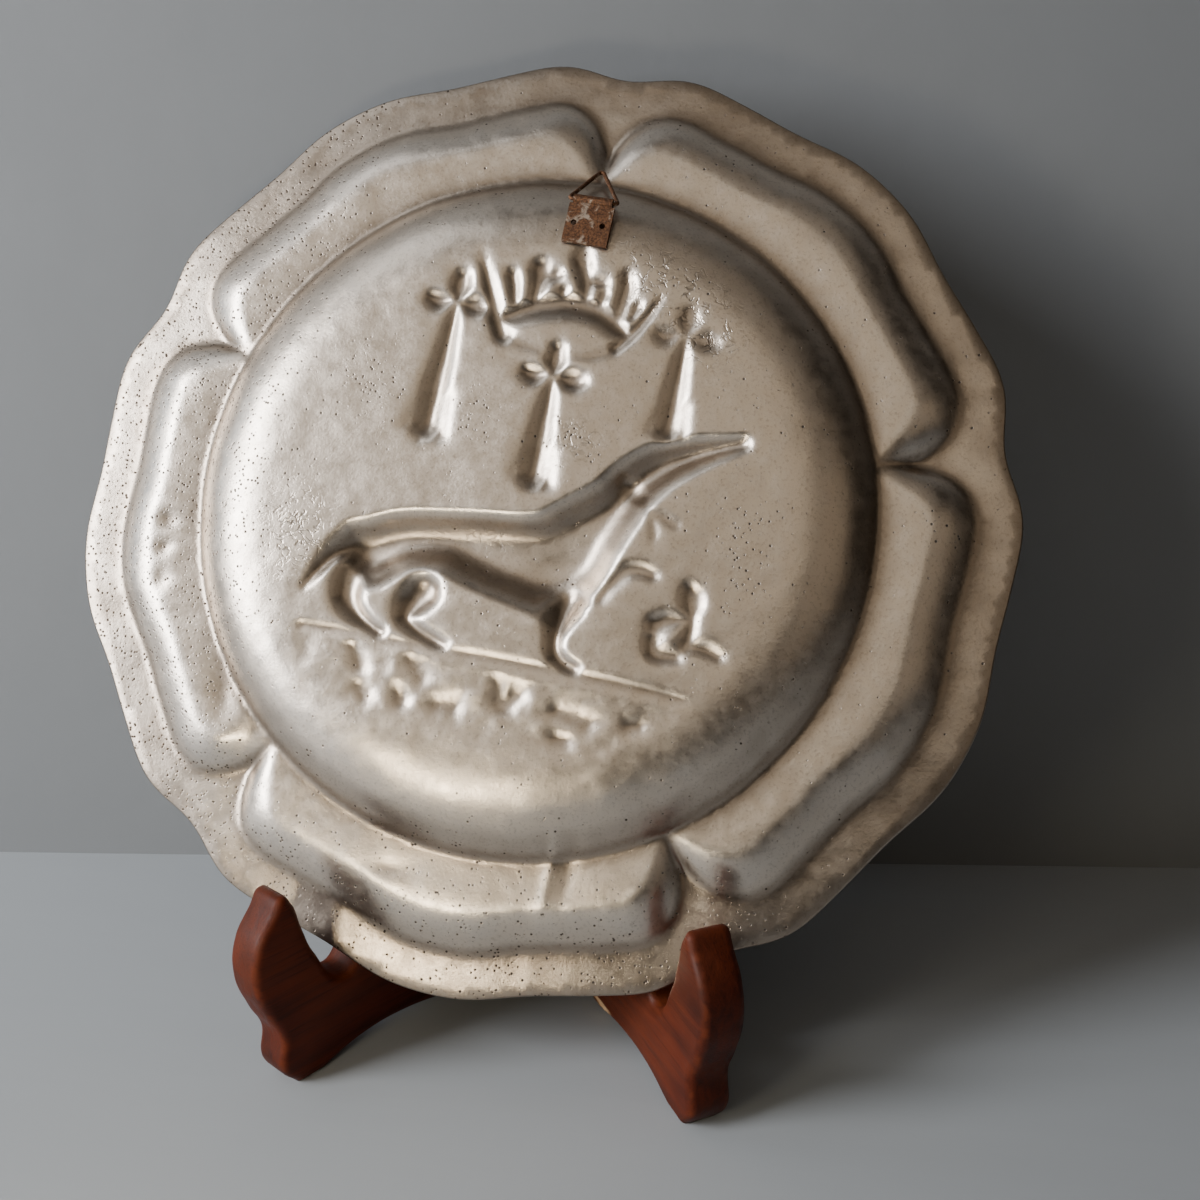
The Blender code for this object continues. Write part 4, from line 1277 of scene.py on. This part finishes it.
@dataclass
class EaselBoard:
    """One board of the easel: a foot with a hooked toe, a seat for the plate's edge and an upright.

    Args:
        name: The CAD node it stands for.
        side: -1 for the left board and 1 for the right one.
        chip: A splintered place as (s, z, radius), or None.
        root_shift: How far both boards are moved in plan, so that the whole object is centred.
        angle: Each board's turn from the plate's middle plane, in degrees.
        toe: The front end of the board's inner face, in plan.
        gap: Gap between the two boards where they meet.
        outline: Corners and curve points of its side view.
    """

    name: str
    side: int
    chip: tuple[float, float, float] | None = None
    root_shift: tuple[float, float] = (0.046, 8.263)
    angle: float = 32.0
    thickness: float = 11.0
    rounding: float = 2.2
    toe: tuple[float, float] = (46.3, -58.3)
    gap: float = 0.3
    weld: float = 0.012
    sharp_from: float = 38.0
    outline: tuple[tuple[float, float, str], ...] = (
        (1.5, 0.0, "VECTOR"), (-2.7, 5.5, "AUTO"), (-2.2, 14.0, "AUTO"), (-5.2, 21.0, "AUTO"),
        (-8.2, 31.0, "AUTO"), (-6.8, 40.0, "AUTO"), (-2.6, 46.0, "AUTO"), (1.0, 50.1, "AUTO"),
        (3.4, 47.6, "AUTO"), (5.6, 40.5, "AUTO"), (8.6, 32.2, "AUTO"), (16.2, 22.6, "AUTO"),
        (21.5, 27.0, "VECTOR"), (48.6, 103.0, "VECTOR"), (52.5, 108.5, "AUTO"), (61.0, 107.0, "AUTO"),
        (68.0, 94.0, "AUTO"), (76.0, 70.0, "AUTO"), (86.0, 59.0, "VECTOR"), (108.0, 57.0, "VECTOR"),
        (108.0, 0.0, "VECTOR"), (50.0, 0.0, "VECTOR"), (35.0, 2.9, "AUTO"), (20.0, 2.9, "AUTO"),
        (8.5, 0.0, "VECTOR"),
    )

    def placed(self) -> Matrix:
        """The board's frame: s along the foot, z up, and the third axis through its thickness.

        Returns:
            The frame, in metres.
        """
        turn = math.radians(self.angle)
        back = Vector((-self.side * math.sin(turn), math.cos(turn), 0.0))
        outward = Vector((self.side * math.cos(turn), math.sin(turn), 0.0))
        up = Vector((0.0, 0.0, 1.0))
        place = Matrix((back, up, back.cross(up))).transposed().to_4x4()
        middle = Vector((self.side * self.toe[0], self.toe[1], 0.0)) + outward * self.thickness / 2
        place.translation = (middle + Vector((*self.root_shift, 0.0))) * MM
        return place

    def slab(self) -> bpy.types.Mesh:
        """The board's outline as a slab with rounded edges, before its end is cut.

        Returns:
            The slab's mesh.
        """
        curve = bpy.data.curves.new(self.name, "CURVE")
        curve.dimensions = "2D"
        curve.fill_mode = "BOTH"
        curve.resolution_u = 14
        curve.bevel_depth = self.rounding * MM
        curve.bevel_resolution = 4
        curve.offset = -self.rounding * MM
        curve.extrude = (self.thickness / 2 - self.rounding) * MM
        spline = curve.splines.new("BEZIER")
        spline.bezier_points.add(len(self.outline) - 1)
        for point, (s, z, kind) in zip(spline.bezier_points, self.outline):
            point.co = (s * MM, z * MM, 0.0)
            point.handle_left_type = point.handle_right_type = kind
        spline.use_cyclic_u = True
        holder = bpy.data.objects.new(self.name, curve)
        bpy.context.scene.collection.objects.link(holder)
        graph = bpy.context.evaluated_depsgraph_get()
        mesh = bpy.data.meshes.new_from_object(holder.evaluated_get(graph))
        bpy.data.objects.remove(holder)
        return mesh

    def build(self, finish: bpy.types.Material) -> bpy.types.Object:
        """Builds the board with its mitred end and its attributes for the finish.

        Args:
            finish: The stained wood.

        Returns:
            The board's object.
        """
        mesh, place = self.slab(), self.placed()
        bm = bmesh.new()
        bm.from_mesh(mesh)
        bmesh.ops.remove_doubles(bm, verts=bm.verts, dist=self.weld * MM)
        for vertex in bm.verts:
            vertex.co = place @ vertex.co
        everything = bm.verts[:] + bm.edges[:] + bm.faces[:]
        mitre = (self.root_shift[0] + self.side * self.gap / 2) * MM
        cut = bmesh.ops.bisect_plane(bm, geom=everything, dist=1e-7, plane_co=(mitre, 0.0, 0.0),
                                     plane_no=(-self.side, 0.0, 0.0), clear_outer=True)
        border = [e for e in cut["geom_cut"] if isinstance(e, bmesh.types.BMEdge)]
        bmesh.ops.holes_fill(bm, edges=border, sides=0)
        bmesh.ops.recalc_face_normals(bm, faces=bm.faces)
        bm.to_mesh(mesh)
        bm.free()
        mesh.shade_smooth()
        mesh.set_sharp_from_angle(angle=math.radians(self.sharp_from))
        mesh.name = self.name + "_wood"
        board = bpy.data.objects.new(self.name + "_wood", mesh)
        bpy.context.scene.collection.objects.link(board)
        board.data.materials.append(finish)
        self.dress(mesh, place)
        return board

    def dress(self, mesh: bpy.types.Mesh, place: Matrix) -> None:
        """Stores where the edges are worn and where the wood is chipped.

        Args:
            mesh: The board's mesh.
            place: The board's frame.
        """
        away = place.inverted()
        axis = place.to_3x3().col[2]
        across = np.array([abs(vertex.normal.dot(axis)) for vertex in mesh.vertices])
        wear = np.clip(4.0 * across * (1.0 - across), 0.0, 1.0) ** 1.5
        chipped = np.zeros(len(wear))
        if self.chip is not None:
            s, z, radius = self.chip
            where = np.array([away @ vertex.co for vertex in mesh.vertices]) / MM
            chipped = np.clip(1.6 - np.hypot((where[:, 0] - s) / 1.6, where[:, 1] - z) / radius, 0.0, 1.0)
        add_attribute(mesh, "wear", wear)
        add_attribute(mesh, "chipped", chipped)


# The room


@dataclass(frozen=True)
class SoftLamp:
    """A large soft light that points at the plate.

    Args:
        name: The light's name.
        azimuth: Direction from the plate to the light, in degrees from -Y towards +X.
        elevation: Its height above the horizon, in degrees.
        distance: Distance in metres.
        size: Width and height in metres.
        power: Power in watts.
        colour: Its colour.
    """

    name: str
    azimuth: float
    elevation: float
    distance: float
    size: tuple[float, float]
    power: float
    colour: tuple[float, float, float]

    def build(self, centre: Vector) -> None:
        """Adds the light.

        Args:
            centre: The place that it points at.
        """
        data = bpy.data.lights.new(self.name, "AREA")
        data.shape = "RECTANGLE"
        data.size, data.size_y = self.size
        data.energy, data.color = self.power, self.colour
        lamp = bpy.data.objects.new(self.name, data)
        turn, rise = math.radians(self.azimuth), math.radians(self.elevation)
        way = Vector((math.sin(turn) * math.cos(rise), -math.cos(turn) * math.cos(rise), math.sin(rise)))
        lamp.location = centre + way * self.distance
        lamp.rotation_euler = way.to_track_quat("Z", "Y").to_euler()
        bpy.context.scene.collection.objects.link(lamp)


@dataclass
class Room:
    """Floor, wall, lights and camera.

    Args:
        wall_distance: How far the wall's foot is behind the origin.
        wall_turn: How far the wall is turned from the X axis, in degrees.
        reach: How far the floor and the wall go to each side.
        camera_offset: The camera's place from the plate's middle.
        pitch: How far it looks down, in degrees.
        yaw: How far it looks to the left, in degrees.
    """

    wall_distance: float = 70.8
    wall_turn: float = 7.5
    floor_colour: tuple[float, float, float] = (0.34, 0.36, 0.38)
    wall_colour: tuple[float, float, float] = (0.20, 0.21, 0.22)
    reach: float = 1500.0
    air_colour: tuple[float, float, float] = (0.55, 0.46, 0.38)
    air_strength: float = 0.02
    camera_offset: tuple[float, float, float] = (64.0, -287.7, 61.9)
    pitch: float = 16.0
    yaw: float = 9.1
    lamps: tuple[SoftLamp, ...] = (
        SoftLamp("window", -57.0, 20.0, 1.1, (0.44, 0.72), 20.0, (0.97, 0.98, 1.0)),
        SoftLamp("window_top", -66.0, 58.0, 1.1, (0.5, 0.3), 0.8, (0.94, 0.97, 1.0)),
        SoftLamp("side_window", -96.0, 16.0, 1.0, (0.5, 0.55), 1.8, (0.50, 0.74, 1.0)),
        SoftLamp("ceiling", 18.0, 66.0, 1.3, (1.2, 0.8), 0.6, (1.0, 0.86, 0.70)),
        SoftLamp("room_glow", -4.0, 36.0, 1.6, (1.3, 0.9), 2.15, (1.0, 0.86, 0.68)),
        SoftLamp("low_glint", -19.0, -10.0, 0.27, (0.06, 0.05), 0.19, (1.0, 0.88, 0.66)),
        SoftLamp("far_room", 46.0, 22.0, 1.4, (0.9, 0.8), 0.6, (1.0, 0.82, 0.62)),
        SoftLamp("rear_fill", -150.0, 45.0, 1.5, (1.3, 1.0), 10.0, (1.0, 0.98, 0.95)),
    )

    def sheet(self, name: str, corners: Sequence[tuple[float, float, float]],
              finish: bpy.types.Material) -> None:
        """One flat stage surface; its front is the side its corners turn about.

        Args:
            name: The surface's name.
            corners: Its corners in millimetres.
            finish: Its paint.
        """
        mesh = bpy.data.meshes.new(name)
        mesh.from_pydata([Vector(c) * MM for c in corners], [], [range(len(corners))])
        mesh.materials.append(finish)
        surface = bpy.data.objects.new(name, mesh)
        bpy.context.scene.collection.objects.link(surface)

    def build(self, centre: Vector) -> None:
        """Builds the room round the plate's middle.

        Args:
            centre: The plate's middle, in metres.
        """
        floor = Painted(self.floor_colour, (0.12, 1.0, 1.0)).material("pale_floor_paint")
        wall = Painted(self.wall_colour, one_sided=True).material("grey_wall_paint")
        wide, turn = self.reach, math.radians(self.wall_turn)
        self.sheet("floor", ((-wide, -wide, 0), (wide, -wide, 0), (wide, wide, 0), (-wide, wide, 0)), floor)
        foot = Vector((-math.sin(turn), math.cos(turn), 0.0)) * self.wall_distance
        along, up = Vector((math.cos(turn), math.sin(turn), 0.0)) * wide, Vector((0.0, 0.0, wide))
        self.sheet("backdrop", (foot - along, foot + along, foot + along + up, foot - along + up), wall)
        for lamp in self.lamps:
            lamp.build(centre)
        world = bpy.data.worlds.new("room_air")
        world.use_nodes = True
        air = world.node_tree.nodes["Background"]
        air.inputs["Color"].default_value = (*self.air_colour, 1.0)
        air.inputs["Strength"].default_value = self.air_strength
        bpy.context.scene.world = world
        data = bpy.data.cameras.new("camera")
        data.lens, data.sensor_width = 36.0, 36.0
        camera = bpy.data.objects.new("camera", data)
        camera.location = centre + Vector(self.camera_offset) * MM
        camera.rotation_euler = (math.radians(90.0 - self.pitch), 0.0, math.radians(self.yaw))
        bpy.context.scene.collection.objects.link(camera)
        bpy.context.scene.camera = camera


def adopt(obj: bpy.types.Object, body: Body, slot: Slot, *nodes: str) -> None:
    """Makes a finished piece ride on its body in place of CAD nodes, and logs it.

    Args:
        obj: The finished piece.
        body: The body that it rides on.
        slot: The record's slot for its finish; not used.
        nodes: The CAD nodes that it stands for.
    """
    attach(obj, body.value)
    if nodes:
        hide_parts(*nodes)
    log.info("%s: %d faces on %s", obj.name, len(obj.data.polygons), body.value)


def main() -> None:
    """Builds every piece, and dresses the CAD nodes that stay."""
    logging.basicConfig(level=logging.INFO, format="%(name)s: %(message)s")
    plate = Plate()
    Room().build(Vector(plate.centre) * MM)
    adopt(plate.build(Pewter().material()), Body.STAND, Slot.PEWTER, "plate")
    ring = HangerRing().build(plate.place, RustyTin().material("dark_wire", 0.25))
    adopt(ring, Body.RING, Slot.WIRE, "hanger_ring")
    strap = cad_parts["hanger_strap"]
    strap.data.materials.clear()
    strap.data.materials.append(RustyTin().material("rusty_tinplate", 0.3))
    log.info("%s: CAD node with a rusty finish", strap.name)
    for board in (EaselBoard("stand_left_side", -1), EaselBoard("stand_right_side", 1, (46.0, 3.2, 2.0))):
        wood = StainedWood().material(board.name + "_stain", board.side * (90.0 - board.angle))
        adopt(board.build(wood), Body.STAND, Slot.WOOD, board.name)


if __name__ == "__main__":
    main()
